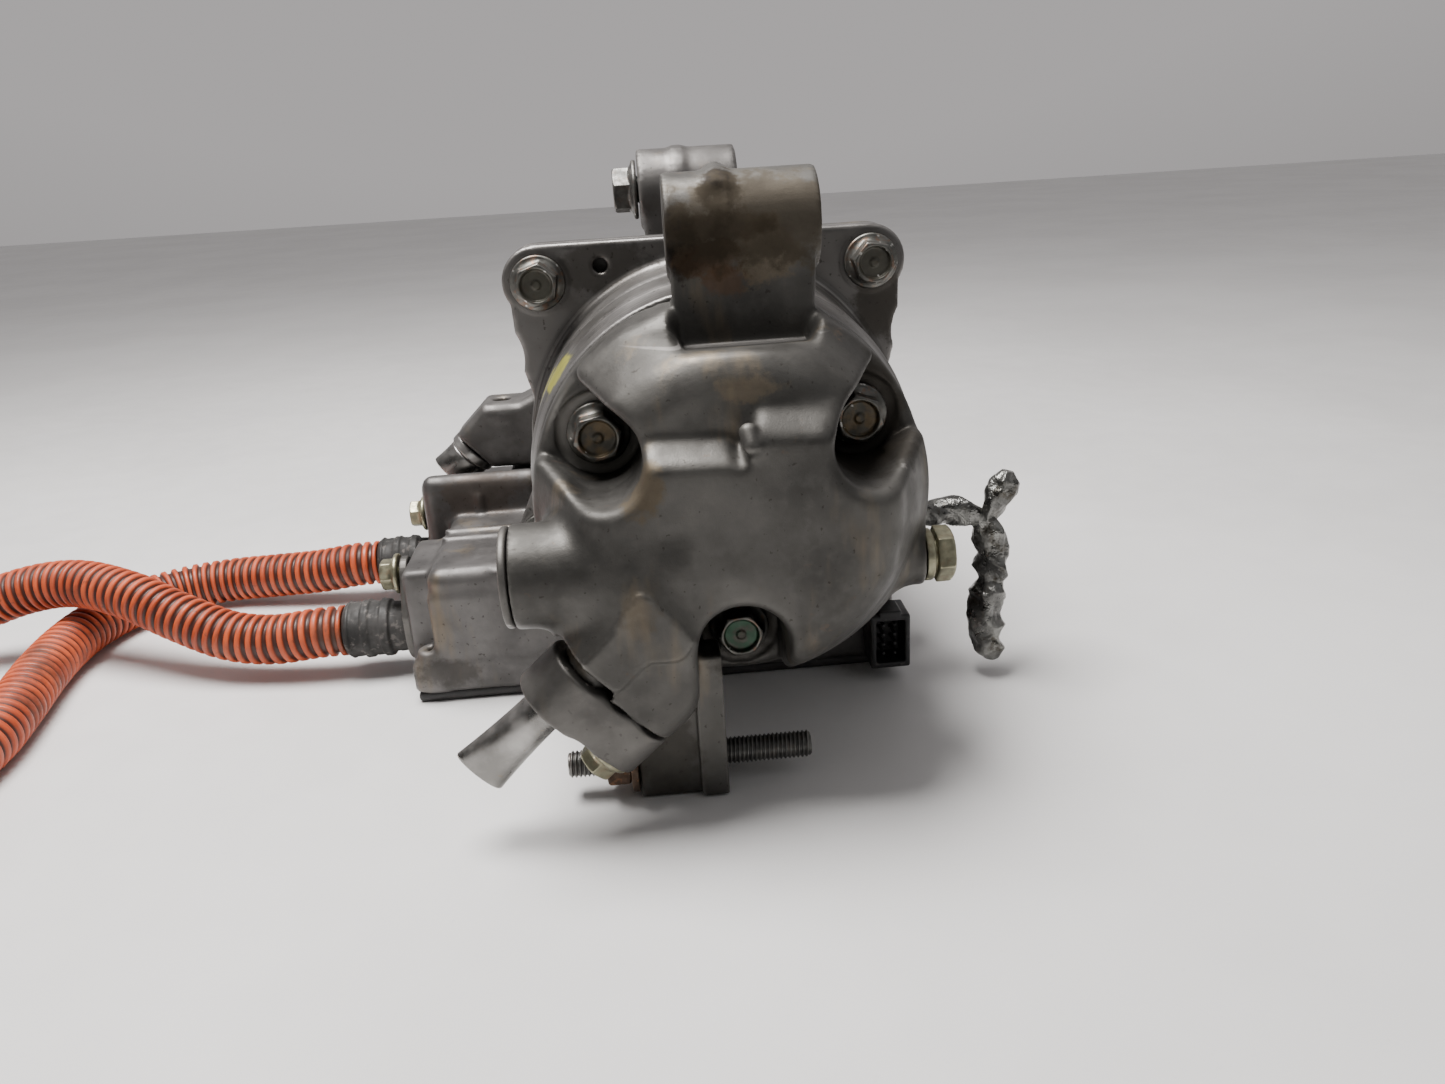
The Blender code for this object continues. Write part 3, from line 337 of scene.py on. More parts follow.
def stacked_sheets(name):
    look = Look(name, 0.85)
    sheets = look.noise(60, 1.0, 0.4, (0.01, 30.0, 0.01))
    look.base(look.band(sheets, 0.4, 0.6), (0.12, 0.12, 0.13), (0.26, 0.26, 0.28))
    look.bump(sheets, 0.5, 0.0003)
    return look.finish(look.mottle(90, 0.38, 0.52))


def green_board(name):
    look = Look(name)
    look.base(look.patches(400, 0.48, 0.52, detail=2.0), (0.012, 0.10, 0.045), (0.022, 0.17, 0.075))
    look.bump(look.noise(500, 2.0), 0.3, 0.0002)
    return look.finish(look.mottle(200, 0.30, 0.5))


def pale_floor(name):
    look = Look(name)
    look.base(look.patches(6, 0.3, 0.7), (0.70, 0.695, 0.69), (0.76, 0.755, 0.75))
    look.spots(260, 0.62, 0.72, 0.12, (0.55, 0.53, 0.50), 4.0, 0.7)
    look.bump(look.noise(400), 0.05, 0.0004)
    return look.finish(look.mottle(60, 0.42, 0.55, 3.0))


# Marks on the castings, stains and some painted shade: place and half size in the shaft frame, colour,
# strength and raggedness

HOUSING_MARKS = (
    ((-0.0105, 0.0050, 0.1545), (0.0050, 0.0120, 0.0100), SOOT, 0.97, 0.8),
    ((-0.0070, 0.0030, 0.1500), (0.0100, 0.0100, 0.0040), SOOT, 0.90, 0.9),
    ((0.0012, 0.0080, 0.1660), (0.0052, 0.0100, 0.0080), SOOT, 0.97, 0.9),
    ((0.0010, 0.0030, 0.1570), (0.0140, 0.0100, 0.0042), (0.032, 0.022, 0.014), 0.95, 1.0),
    ((-0.0025, 0.0030, 0.1490), (0.0100, 0.0100, 0.0050), BROWN, 0.80, 1.1),
    ((0.0010, 0.0050, 0.1435), (0.0060, 0.0100, 0.0040), (0.12, 0.062, 0.030), 0.45, 1.2),
    ((0.0130, 0.0040, 0.1500), (0.0090, 0.0100, 0.0090), TAN, 0.40, 1.2),
    ((0.0120, 0.0060, 0.1580), (0.0270, 0.0240, 0.0120), (0.075, 0.062, 0.044), 0.75, 1.0),
    ((-0.0253, -0.0290, 0.0985), (0.0055, 0.0070, 0.0070), (0.12, 0.092, 0.055), 0.62, 1.0),
    ((-0.0277, -0.0290, 0.0666), (0.0050, 0.0080, 0.0080), (0.12, 0.10, 0.075), 0.45, 1.2),
    ((0.0030, -0.0270, 0.1210), (0.0110, 0.0080, 0.0040), TAN, 0.35, 1.0),
    # Painted shade in the bolt pockets: the right and lower pockets darkened all over, the left pocket on its
    # right side.
    ((0.0357, 0.0000, 0.1046), (0.0165, 0.0200, 0.0165), OIL_AND_SHADE, 0.80, 0.5),
    ((-0.0290, 0.0060, 0.1046), (0.0100, 0.0120, 0.0150), OIL_AND_SHADE, 0.45, 0.6),
    ((0.0000, 0.0000, 0.0440), (0.0120, 0.0200, 0.0120), OIL_AND_SHADE, 0.70, 0.6),
    ((-0.0400, -0.0220, 0.0560), (0.0100, 0.0100, 0.0060), (0.10, 0.075, 0.05), 0.60, 1.0),
    ((-0.0240, -0.0100, 0.0130), (0.0095, 0.0120, 0.0150), (0.060, 0.054, 0.045), 0.55, 0.8),
    ((-0.0357, 0.0080, 0.1046), (0.0130, 0.0012, 0.0130), (0.30, 0.29, 0.27), 0.75, 0.1),
    ((0.0000, -0.0140, 0.1296), (0.0330, 0.0150, 0.00035), (0.26, 0.25, 0.24), 0.60, 0.0),
    ((0.0057, 0.0063, 0.1266), (0.0200, 0.0030, 0.00050), (0.26, 0.25, 0.24), 0.60, 0.0),
)
SCROLL_MARKS = (
    ((-0.0470, 0.0300, 0.1185), (0.0042, 0.0060, 0.0110), (0.55, 0.53, 0.10), 0.85, 0.9),
    ((-0.0510, 0.0420, 0.1110), (0.0030, 0.0050, 0.0080), (0.55, 0.53, 0.10), 0.75, 1.0),
    ((-0.0330, 0.0710, 0.1420), (0.0150, 0.0040, 0.0080), OIL_AND_SHADE, 0.55, 0.9),
    ((0.0560, 0.0710, 0.1250), (0.0080, 0.0040, 0.0120), OIL_AND_SHADE, 0.75, 0.8),
)
CASE_MARKS = (
    ((-0.0880, 0.1180, 0.0560), (0.0160, 0.0060, 0.0080), BROWN, 0.35, 1.2),
    ((-0.0980, 0.0600, 0.0110), (0.0140, 0.0060, 0.0060), OIL_AND_SHADE, 0.50, 0.9),
)


# Distance fields


def meet(first, second, edge):
    """The overlap of two fields, with its edge rounded off."""
    first, second = first + edge, second + edge
    inner = np.minimum(np.maximum(first, second), 0)
    return inner + np.hypot(np.maximum(first, 0), np.maximum(second, 0)) - edge


def add(first, second, fillet=0.0015):
    share = np.clip(0.5 + 0.5 * (second - first) / fillet, 0, 1)
    return second + (first - second) * share - fillet * share * (1 - share)


def take(first, second, fillet=0.0006):
    return -add(-first, second, fillet)


def outline_distance(u, v, outline):
    """Signed distance to a closed polygon, on two arrays that broadcast."""
    nearest = np.full(np.broadcast(u, v).shape, 1e3, np.float32)
    inside = np.zeros(nearest.shape, bool)
    for (au, av), (bu, bv) in zip(outline, [*outline[1:], outline[0]]):
        eu, ev = bu - au, bv - av
        if abs(eu) + abs(ev) < 1e-9:
            continue
        share = np.clip(((u - au) * eu + (v - av) * ev) / (eu * eu + ev * ev), 0, 1)
        nearest = np.minimum(nearest, (u - au - eu * share) ** 2 + (v - av - ev * share) ** 2)
        if abs(ev) > 1e-9:
            inside ^= ((av > v) != (bv > v)) & (u < au + (v - av) / ev * eu)
    return np.where(inside, -1, 1) * np.sqrt(nearest)


def arc(centre, radius, first, last, steps):
    """Points on a circle, between two angles in degrees."""
    angles = [math.radians(first + (last - first) * i / steps) for i in range(steps + 1)]
    return [(centre[0] + radius * math.cos(a), centre[1] + radius * math.sin(a)) for a in angles]


class Block:
    """A box of voxels. Each method gives the signed distance to a solid, negative inside it."""

    def __init__(self, low, high, voxel, origin=ORIGIN):
        self.voxel = voxel
        self.origin = origin
        self.low = np.array(low) - 3.37 * voxel
        axes = [np.arange(a, b + 3 * voxel, voxel, dtype=np.float32) for a, b in zip(self.low, high)]
        self.x, self.y, self.z = np.meshgrid(*axes, indexing="ij", sparse=True)
        self.solid = None

    def grow(self, shape, fillet=0.0015):
        self.solid = shape if self.solid is None else add(self.solid, shape, fillet)

    def cut(self, shape, fillet=0.0006):
        self.solid = take(self.solid, shape, fillet)

    def rod(self, start, end, radius, edge=0.0005, end_radius=None):
        start, end = Vector(start), Vector(end)
        axis, length = (end - start).normalized(), (end - start).length
        offsets = (self.x - start.x, self.y - start.y, self.z - start.z)
        along = sum(d * a for d, a in zip(offsets, axis) if abs(a) > 1e-6)
        if max(map(abs, axis)) > 0.9999:
            across = np.sqrt(sum(d * d for d, a in zip(offsets, axis) if abs(a) < 0.5))
        else:
            across = np.sqrt(np.maximum(sum(d * d for d in offsets) - along * along, 0))
        if end_radius is not None:
            radius = radius + (end_radius - radius) * along / length
        return meet(across - radius, np.abs(along - length / 2) - length / 2, edge)

    def disc(self, radius, start, end, x=0.0, z=SHAFT_Z, edge=0.0005):
        """A rod along Y."""
        return self.rod((x, start, z), (x, end, z), radius, edge)

    def pin(self, radius, start, end, y, z, edge=0.0005):
        """A rod along X."""
        return self.rod((start, y, z), (end, y, z), radius, edge)

    def post(self, radius, start, end, edge=0.0005, end_radius=None):
        """A rod along the block's own Z axis."""
        return self.rod((0, 0, start), (0, 0, end), radius, edge, end_radius)

    def box(self, low, high, edge=0.0005):
        parts = []
        for axis, a, b in zip((self.x, self.y, self.z), low, high):
            parts.append(np.abs(axis - (a + b) / 2) - (b - a) / 2 + edge)
        outside = np.sqrt(sum(np.maximum(part, 0) ** 2 for part in parts))
        inside = np.minimum(np.maximum(np.maximum(parts[0], parts[1]), parts[2]), 0)
        return outside + inside - edge

    def plate(self, outline, axis, start, end, edge=0.0005):
        across = {"X": (self.y, self.z), "Y": (self.x, self.z), "Z": (self.x, self.y)}[axis]
        along = {"X": self.x, "Y": self.y, "Z": self.z}[axis]
        thickness = np.abs(along - (start + end) / 2) - (end - start) / 2
        return meet(outline_distance(*across, outline), thickness, edge)

    def turned(self, profile):
        """A profile of (radius, y) points turned round the shaft."""
        radius = np.hypot(self.x, self.z - SHAFT_Z)[:, 0, :]
        step = self.voxel / 2
        radii = np.arange(0, float(radius.max()) + 2 * step, step, dtype=np.float32)
        mirrored = [*profile, *[(-r, y) for r, y in reversed(profile) if r > 0]]
        table = outline_distance(radii[:, None], self.y[0, :, 0][None, :], mirrored)
        lower = np.minimum((radius / step).astype(int), len(radii) - 2)
        share = (radius / step - lower)[..., None]
        found = table[lower] * (1 - share) + table[lower + 1] * share
        return np.swapaxes(found, 1, 2)

    def surface(self, name):
        """The surface of what has been built up, as an object in the world frame."""
        grid = openvdb.FloatGrid()
        grid.copyFromArray(np.ascontiguousarray(self.solid / self.voxel, dtype=np.float32))
        points, quads = grid.convertToQuads(isovalue=0.0)
        points = self.low + points * self.voxel + np.array(self.origin)
        return mesh_object(name, points, quads)


def mesh_object(name, points, quads):
    mesh = bpy.data.meshes.new(name)
    mesh.vertices.add(len(points))
    mesh.vertices.foreach_set("co", np.asarray(points, np.float32).ravel())
    mesh.loops.add(4 * len(quads))
    mesh.loops.foreach_set("vertex_index", np.asarray(quads, np.int32).ravel())
    mesh.polygons.add(len(quads))
    mesh.polygons.foreach_set("loop_start", np.arange(0, 4 * len(quads), 4, dtype=np.int32))
    mesh.update(calc_edges=True)
    mesh.validate()
    mesh.polygons.foreach_set("use_smooth", np.full(len(mesh.polygons), True))
    thing = bpy.data.objects.new(name, mesh)
    bpy.context.scene.collection.objects.link(thing)
    return thing


def settle(thing, look, slot, *nodes):
    """Gives a piece its look and its body, and lets it stand for its CAD nodes."""
    thing.data.materials.clear()
    thing.data.materials.append(LOOKS[look])
    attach(thing, "housing")
    if nodes:
        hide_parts(*nodes)
    return thing


# Swept rings


def ring_frames(points, axis=None):
    """Two directions across the line at each point, without twist, or the same two along a given axis."""
    points = [Vector(p) for p in points]
    if axis is not None:
        side = Vector((0, 1, 0)) if abs(axis.y) < 0.5 else Vector((1, 0, 0))
        side = (side - axis * side.dot(axis)).normalized()
        return [(here, side, axis.cross(side)) for here in points]
    frames = []
    side = None
    for before, here, after in zip([points[0], *points], points, [*points[1:], points[-1]]):
        ahead = (after - before).normalized()
        if side is None:
            side = ahead.orthogonal()
        side = (side - ahead * side.dot(ahead)).normalized()
        frames.append((here, side, ahead.cross(side)))
    return frames


def swept(name, points, radii, squeeze=None, axis=None):
    """A closed tube. radii is a (rings, sides) array, and squeeze scales each ring's two directions."""
    rings, sides = radii.shape
    angles = np.arange(sides) * 2 * math.pi / sides
    grid = np.empty((rings, sides, 3))
    for i, (here, side, over) in enumerate(ring_frames(points, axis)):
        wide, tall = squeeze[i] if squeeze is not None else (1, 1)
        across = np.outer(np.cos(angles) * wide, side) + np.outer(np.sin(angles) * tall, over)
        grid[i] = np.array(here) + across * radii[i][:, None]
    ring, turn = np.meshgrid(np.arange(rings - 1), np.arange(sides), indexing="ij")
    after = (turn + 1) % sides
    quads = [ring * sides + turn, ring * sides + after, (ring + 1) * sides + after, (ring + 1) * sides + turn]
    quads = np.stack(quads, axis=-1).reshape(-1, 4).tolist()
    ends = [list(range(sides))[::-1], [(rings - 1) * sides + i for i in range(sides)]]
    mesh = bpy.data.meshes.new(name)
    mesh.from_pydata(grid.reshape(-1, 3).tolist(), [], [*quads, *ends])
    mesh.polygons.foreach_set("use_smooth", [True] * len(quads) + [False, False])
    mesh.update()
    tube = bpy.data.objects.new(name, mesh)
    bpy.context.scene.collection.objects.link(tube)
    return tube


def smooth_route(route, spacing):
    """Evenly spaced points on a Catmull-Rom curve through a route's own points, in the world frame."""
    points = [Vector(p) + ORIGIN for p in route]
    ends = [2 * points[0] - points[1], *points, 2 * points[-1] - points[-2]]
    fine = []
    for a, b, c, d in zip(ends, ends[1:], ends[2:], ends[3:]):
        for i in range(40):
            t = i / 40
            square = (2 * a - 5 * b + 4 * c - d) * t**2 / 2
            cube = (3 * b - a - 3 * c + d) * t**3 / 2
            fine.append(b + (c - a) * t / 2 + square + cube)
    fine = np.array([*fine, points[-1]])
    lengths = np.concatenate([[0], np.cumsum(np.linalg.norm(np.diff(fine, axis=0), axis=1))])
    count = round(lengths[-1] / spacing)
    wanted = np.linspace(0, lengths[-1], count + 1)
    return np.stack([np.interp(wanted, lengths, fine[:, i]) for i in range(3)], axis=1), float(lengths[-1])


def straight(start, end, spacing):
    start, end = Vector(start) + ORIGIN, Vector(end) + ORIGIN
    count = max(2, round((end - start).length / spacing))
    return [start.lerp(end, i / count) for i in range(count + 1)]


def rounded_profile(points, spacing):
    """Radii at even steps along a tube, from (distance, radius) corners."""
    distances, radii = zip(*points)
    steps = np.arange(0, distances[-1] + spacing / 2, spacing)
    return steps, np.interp(steps, distances, radii)


# Looks in use

LOOKS = {
    "housing": cast_metal("cast_front", marks=HOUSING_MARKS),
    "motor": cast_metal("cast_motor", (0.115, 0.110, 0.106)),
    "case": cast_metal("cast_case", (0.125, 0.120, 0.117), CASE_MARKS, 1.25),
    "fitting": cast_metal("cast_fitting", (0.120, 0.115, 0.108), dirt=0.6),
    "machined": machined_metal("turned_aluminium", SCROLL_MARKS),
    "bright": machined_metal("turned_bright"),
    "steel": plain_steel("dull_steel"),
    "thread": plain_steel("grey_thread", (0.17, 0.168, 0.16), 0.12, 0.40),
    "rusty": plain_steel("rusted_steel", (0.17, 0.12, 0.09), 0.95, 0.6),
    "zinc": plain_steel("yellow_zinc", (0.40, 0.385, 0.27), 0.30, 0.36),
    "oily_bolt": dished_steel("oily_bolt", (0.20, 0.13, 0.05), 0.55),
    "green_bolt": dished_steel("green_bolt", (0.010, 0.070, 0.032), 0.90),
    "ear_bolt": dished_steel("ear_bolt", (0.085, 0.083, 0.065), 0.50),
    "pipe": bare_pipe("bare_tube"),
    "orange": ribbed_orange("orange_conduit"),
    "orange_plug": moulded_plastic("orange_plug", (0.46, 0.075, 0.020)),
    "rubber": dull_rubber("dusty_rubber", (0.022, 0.021, 0.020)),
    "gasket": dull_rubber("coated_gasket", (0.07, 0.07, 0.075)),
    "plastic": moulded_plastic("black_plastic", (0.016, 0.016, 0.017)),
    "cover": moulded_plastic("dark_cover", (0.035, 0.034, 0.034), 0.5),
    "foil": crumpled_foil("crumpled_foil"),
    "lamination": stacked_sheets("laminations"),
    "copper": varnished_copper("varnished_winding"),
    "board": green_board("circuit_board"),
}


# Leads

CONDUIT_R = 0.00925
GROOVE = 0.0015
RIB_PITCH = 0.0040
LEAD_R = 0.0048
FRONT_GLAND = (-0.1120, 0.0880, 0.0170)
REAR_GLAND = (-0.1150, 0.1600, 0.0160)
GLAND_BOLT_UP = 0.0205
FRONT_ROUTE = (
    (-0.1386, 0.0880, 0.0170),
    (-0.1490, 0.0880, 0.0168),
    (-0.1660, 0.0898, 0.0150),
    (-0.1830, 0.0935, 0.0165),
    (-0.2020, 0.1010, 0.0220),
    (-0.2240, 0.1120, 0.0285),
    (-0.2470, 0.1225, 0.0310),
    (-0.2690, 0.1262, 0.0285),
    (-0.2920, 0.1235, 0.0220),
    (-0.3150, 0.1130, 0.0150),
    (-0.3350, 0.0960, 0.0110),
    (-0.3500, 0.0750, 0.0102),
    (-0.3580, 0.0500, 0.0100),
)
REAR_ROUTE = (
    (-0.1416, 0.1600, 0.0160),
    (-0.1520, 0.1600, 0.0158),
    (-0.1680, 0.1620, 0.0135),
    (-0.1880, 0.1655, 0.0118),
    (-0.2080, 0.1680, 0.0105),
    (-0.2270, 0.1640, 0.0098),
    (-0.2420, 0.1510, 0.0096),
    (-0.2500, 0.1320, 0.0096),
    (-0.2520, 0.1110, 0.0096),
    (-0.2500, 0.0880, 0.0096),
    (-0.2460, 0.0640, 0.0096),
    (-0.2430, 0.0400, 0.0096),
    (-0.2450, 0.0150, 0.0096),
    (-0.2540, -0.0080, 0.0096),
    (-0.2690, -0.0280, 0.0096),
)
LEAD_ROUTE = (
    (0.0603, 0.0500, 0.0580),
    (0.0680, 0.0500, 0.0582),
    (0.0760, 0.0498, 0.0582),
    (0.0835, 0.0494, 0.0560),
    (0.0880, 0.0488, 0.0500),
    (0.0890, 0.0480, 0.0420),
    (0.0880, 0.0472, 0.0330),
    (0.0870, 0.0462, 0.0240),
    (0.0872, 0.0450, 0.0150),
    (0.0885, 0.0438, 0.0060),
)
TAB_ROUTE = (
    (0.0868, 0.0492, 0.0530),
    (0.0892, 0.0490, 0.0585),
    (0.0925, 0.0492, 0.0650),
    (0.0945, 0.0496, 0.0705),
)


def make_boot(side, gland):
    """A rubber sleeve with clamp ridges, bound with tape towards the gland."""
    x, y, z = gland
    corners = ((0, 0.0075), (0.0088, 0.0075), (0.0092, 0.0091), (0.0148, 0.0091), (0.0155, 0.0103))
    corners += ((0.0180, 0.0106), (0.0188, 0.0099), (0.0220, 0.0099), (0.0228, 0.0105), (0.0248, 0.0105))
    corners += ((0.0256, 0.0099), (0.0292, 0.0099), (0.0300, 0.0104), (0.0318, 0.0092), (0.0320, 0.0085))
    steps, radii = rounded_profile(corners, 0.0004)
    sides = 56
    angles = np.arange(sides) * 2 * math.pi / sides
    tape = 0.00022 * ((steps[:, None] / 0.0042 + angles[None, :] / (2 * math.pi)) % 1.0)
    radii = radii[:, None] + tape * ((steps > 0.010) & (steps < 0.031))[:, None]
    points = straight((x + 0.0058, y, z), (x - 0.0262, y, z), 0.0004)[: len(steps)]
    boot = swept(f"{side}_boot", points, radii)
    return settle(boot, "rubber", "boot_rubber", f"{side}_lead_boot")


def make_plug(side, route):
    """The plug on a lead's far end: ribbed collar, body with a latch, finger ridges and an open mouth."""
    end, before = Vector(route[-1]), Vector(route[-2])
    ahead = end - before
    ahead.z = 0
    ahead.normalize()
    block = Block((-0.001, -0.013, -0.0100), (0.0500, 0.013, 0.0140), 0.0004, (0, 0, 0))
    block.grow(block.pin(0.0094, 0, 0.013, 0, 0, 0.0008))
    for ridge in (0.0022, 0.0054, 0.0086):
        block.grow(block.pin(0.0097, ridge, ridge + 0.0014, 0, 0, 0.0004), 0.0004)
    block.grow(block.box((0.0108, -0.0118, -0.0094), (0.0483, 0.0118, 0.0094), 0.0016))
    block.grow(block.box((0.0180, -0.0034, 0.0080), (0.0410, 0.0034, 0.0124), 0.0007), 0.0008)
    for ridge in (0.0140, 0.0166, 0.0192, 0.0218):
        for wall in (-0.0118, 0.0118):
            low, high = (ridge, wall - 0.0005, -0.0060), (ridge + 0.0012, wall + 0.0005, 0.0060)
            block.grow(block.box(low, high, 0.0003), 0.0005)
    block.cut(block.box((0.0320, -0.0098, -0.0074), (0.0600, 0.0098, 0.0074), 0.0010))
    for across in (-0.0048, 0.0048):
        block.grow(block.pin(0.0021, 0.0300, 0.0440, across, 0, 0.0006), 0.0005)
    plug = block.surface(f"{side}_plug")
    across = ahead.cross(Vector((0, 0, 1))).normalized()
    turn = Matrix((ahead, across, (0, 0, 1))).transposed().to_4x4()
    plug.data.transform(Matrix.Translation(end + ahead * 0.0006 + ORIGIN) @ turn)
    return settle(plug, "orange_plug", "orange_conduit", f"{side}_lead_connector")


def make_conduit(side, route, gland):
    """Corrugated conduit along its route, with a rib every four millimetres."""
    points, length = smooth_route(route, RIB_PITCH / 10)
    along = np.linspace(0, length, len(points))
    crown = np.clip(0.55 + 1.5 * np.sin(2 * math.pi * along / RIB_PITCH), 0, 1)
    radius = CONDUIT_R - GROOVE * (1 - crown)
    conduit = swept(f"{side}_corrugated_conduit", points, np.repeat(radius[:, None], 40, axis=1))
    ribs = conduit.data.attributes.new("rib", "FLOAT", "POINT")
    ribs.data.foreach_set("value", np.repeat(crown, 40).astype(np.float32))
    settle(conduit, "orange", "orange_conduit", f"{side}_conduit")
    pieces = [make_boot(side, gland), make_plug(side, route)]


def crumple(points, angles, size, seed):
    """Sharp-edged dents round a foil wrap, from 0 to 1, for each ring and side."""
    dents = np.empty((len(points), len(angles)))
    for i, point in enumerate(points):
        for j, angle in enumerate(angles):
            place = Vector((math.cos(angle) * 0.005, math.sin(angle) * 0.005, 0)) + Vector(point)
            dents[i, j] = abs(noise.noise(place / size + Vector((seed, 0, 0)))) * 1.7
            dents[i, j] += 0.35 * abs(noise.noise(place * 2.1 / size + Vector((0, seed, 0))))
    return dents


def make_signal_lead():
    """The low-voltage lead in crumpled foil: pinched at the bend, wider along its hanging part."""
    points, length = smooth_route(LEAD_ROUTE, 0.0005)
    along = np.linspace(0, 1, len(points))
    stops = (0, 0.20, 0.27, 0.33, 0.42, 0.55, 0.63, 0.70, 0.80, 0.95, 1.0)
    sizes = (1.0, 1.0, 0.92, 0.66, 1.08, 1.20, 0.92, 1.16, 1.22, 1.08, 0.6)
    girth = np.interp(along, stops, sizes) * LEAD_R
    angles = np.arange(48) * 2 * math.pi / 48
    radii = girth[:, None] * (1.14 - 0.42 * crumple(points, angles, 0.0085, 4.0))
    flat = 0.88 + 0.12 * np.sin(along * 9)
    lead = swept("foil_wrapped_lead", points, radii, np.stack([flat, 2 - flat], axis=1))
    settle(lead, "foil", "foil", "signal_lead")
    tab = make_foil_tab()


def make_foil_tab():
    """The loose end of the foil wrap, which stands up from the bend."""
    points, _ = smooth_route(TAB_ROUTE, 0.0005)
    along = np.linspace(0, 1, len(points))
    girth = np.interp(along, (0, 0.25, 0.6, 0.85, 1), (0.0032, 0.0042, 0.0064, 0.0060, 0.0030))
    angles = np.arange(48) * 2 * math.pi / 48
    radii = girth[:, None] * (1.15 - 0.45 * crumple(points, angles, 0.0080, 9.0))
    tab = swept("foil_wrap_end", points, radii, np.full((len(points), 2), (1.0, 0.72)))
    return settle(tab, "foil", "foil")


# Castings

PLATEAU_Y = -0.0300
POCKET_ANGLES = (150, 30, 270)
POCKET_OUT = 0.0412
POCKET_R = 0.0118
SEAT_Y = 0.0080
JOINT_Y = 0.0180
PORT_NORMAL = Vector((-0.750, 0.0, -0.661)).normalized()
PORT_SLOPE = Vector((-0.661, 0.0, 0.750)).normalized()
PORT_CENTRE = Vector((-0.0374, -0.0243, 0.0419))
PORT_PIPE = 0.0093
PORT_BOLT = -0.0122
PORT_THICK = 0.0133
TOP_BOSS = (0.007, 0.019, 0.157)
WEB_X = 0.0057
SEPARATOR = (-0.0170, 0.0738)
RELIEF = (0.003, 0.0625)
REAR_BOSS = (-0.0016, 0.126, 0.1625)
STUD = (-0.0195, -0.0075, 0.0100)
UPPER_EAR = (0.0534, 0.1385)
LOWER_EAR = (0.0600, 0.0535)
SEAM_Y = 0.0777
EAR_FRONT_Y = 0.0710
EAR_REAR_Y = 0.0840
REAR_Y = 0.1840
EAR_BOLTS = [(ear[0] * side, ear[1]) for ear in (UPPER_EAR, LOWER_EAR) for side in (-1, 1)]


def around(radius, degrees):
    """X and Z of a point round the shaft, at this angle from +X."""
    return radius * math.cos(math.radians(degrees)), SHAFT_Z + radius * math.sin(math.radians(degrees))


def along_port(slope, off):
    return PORT_CENTRE + PORT_SLOPE * slope + PORT_NORMAL * off


def front_relief(block):
    """How far forward the front face stands at each X and Z, with its step between two plateaus."""
    x, z = block.x[:, 0, 0], block.z[0, 0, :]
    lower = np.interp(x, (-0.0205, -0.0030, 0.0005, 0.0038, 0.0165), (0.1024, 0.1024, 0.1015, 0.1090, 0.1076))
    places = (-0.0200, -0.0020, 0.0010, 0.0030, 0.0052, 0.0177)
    upper = np.interp(x, places, (0.1102, 0.1092, 0.1052, 0.1090, 0.1168, 0.1166))
    share = np.clip((z[None, :] - lower[:, None]) / (upper - lower)[:, None], 0, 1)
    relief = PLATEAU_Y + 0.0080 * share * share * (3 - 2 * share)
    reach = round(0.0009 / block.voxel)
    for _ in range(2):
        relief = sum(np.roll(relief, i, 0) for i in range(-reach, reach + 1)) / (2 * reach + 1)
        relief = sum(np.roll(relief, i, 1) for i in range(-reach, reach + 1)) / (2 * reach + 1)
    return relief[:, None, :]


def front_dome(block):
    """The cover's front: a tapered dome with its plateaus, a shoulder above the parting line, and a rim."""
    radius = np.hypot(block.x, block.z - SHAFT_Z)
    taper = (radius - 0.0548 - 0.52 * np.minimum(block.y - 0.001, 0)) * 0.88
    dome = meet(taper, front_relief(block) - block.y, 0.0065)
    beside = np.clip((np.abs(block.x - WEB_X) - 0.0165) / 0.0040, 0, 1)
    shoulder = block.z - 0.1299 + (0.155 - 0.335 * beside) * np.maximum(block.y + 0.019, 0)
    dome = np.maximum(meet(dome, shoulder, 0.0025), block.y - JOINT_Y)
    above = np.clip((block.z - 0.1240) / 0.0030, 0, 1) * (1 - beside)
    rim = np.maximum(meet(radius - 0.0548, 0.0076 * above - block.y, 0.0050), block.y - JOINT_Y)
    return add(dome, rim, 0.0030)


def bolt_pockets(block):
    """The three bolt pockets, open to the rim, and the arch over the lowest one."""
    arch = [*arc((-0.0015, 0.0520), 0.0124, 0, 180, 20), (-0.0139, 0.030), (0.0109, 0.030)]
    pockets = block.plate(arch, "Y", -0.06, 0.006)
    wide = POCKET_R - 0.0003
    for degrees in POCKET_ANGLES:
        x, z = around(POCKET_OUT, degrees)
        far_x, far_z = around(0.085, degrees)
        side_x, side_z = -wide * math.sin(math.radians(degrees)), wide * math.cos(math.radians(degrees))
        way = [(x - side_x, z - side_z), (far_x - side_x, far_z - side_z)]
        way += [(far_x + side_x, far_z + side_z), (x + side_x, z + side_z)]
        way = block.plate(way, "Y", -0.06, SEAT_Y - 0.0012, 0.0004)
        pockets = np.minimum(pockets, np.minimum(block.disc(POCKET_R, -0.06, SEAT_Y, x, z, 0.0004), way))
    return pockets


def top_lug(block):
    """The mounting boss across the top, its web, and the gate bump left on its crown."""
    x, y, z = TOP_BOSS
    web = [(-0.0127, 0.112), (0.0243, 0.112), (0.0262, z + 0.002), (-0.0128, z + 0.002)]
    web = block.plate(web, "Y", y - 0.0127, 0.0295, 0.0010)
    lug = add(block.pin(0.0136, x - 0.0205, x + 0.0205, y, z, 0.0006), web, 0.0012)
    bump = block.rod((0.0012, y - 0.0095, z + 0.0085), (0.0012, y + 0.006, z + 0.0130), 0.0030, 0.0010)
    seam = block.box((0.0030, y - 0.0148, 0.118), (0.0034, y + 0.010, z + 0.0146), 0.0001)
    lug = add(lug, bump, 0.0030)
    return add(lug, np.maximum(seam, lug - 0.0003), 0.0003)


def port_rod(block, slope, start, end, radius, edge=0.0005):
    """A rod square to the port's face, this far along its slope."""
    return block.rod(along_port(slope, start), along_port(slope, end), radius, edge)


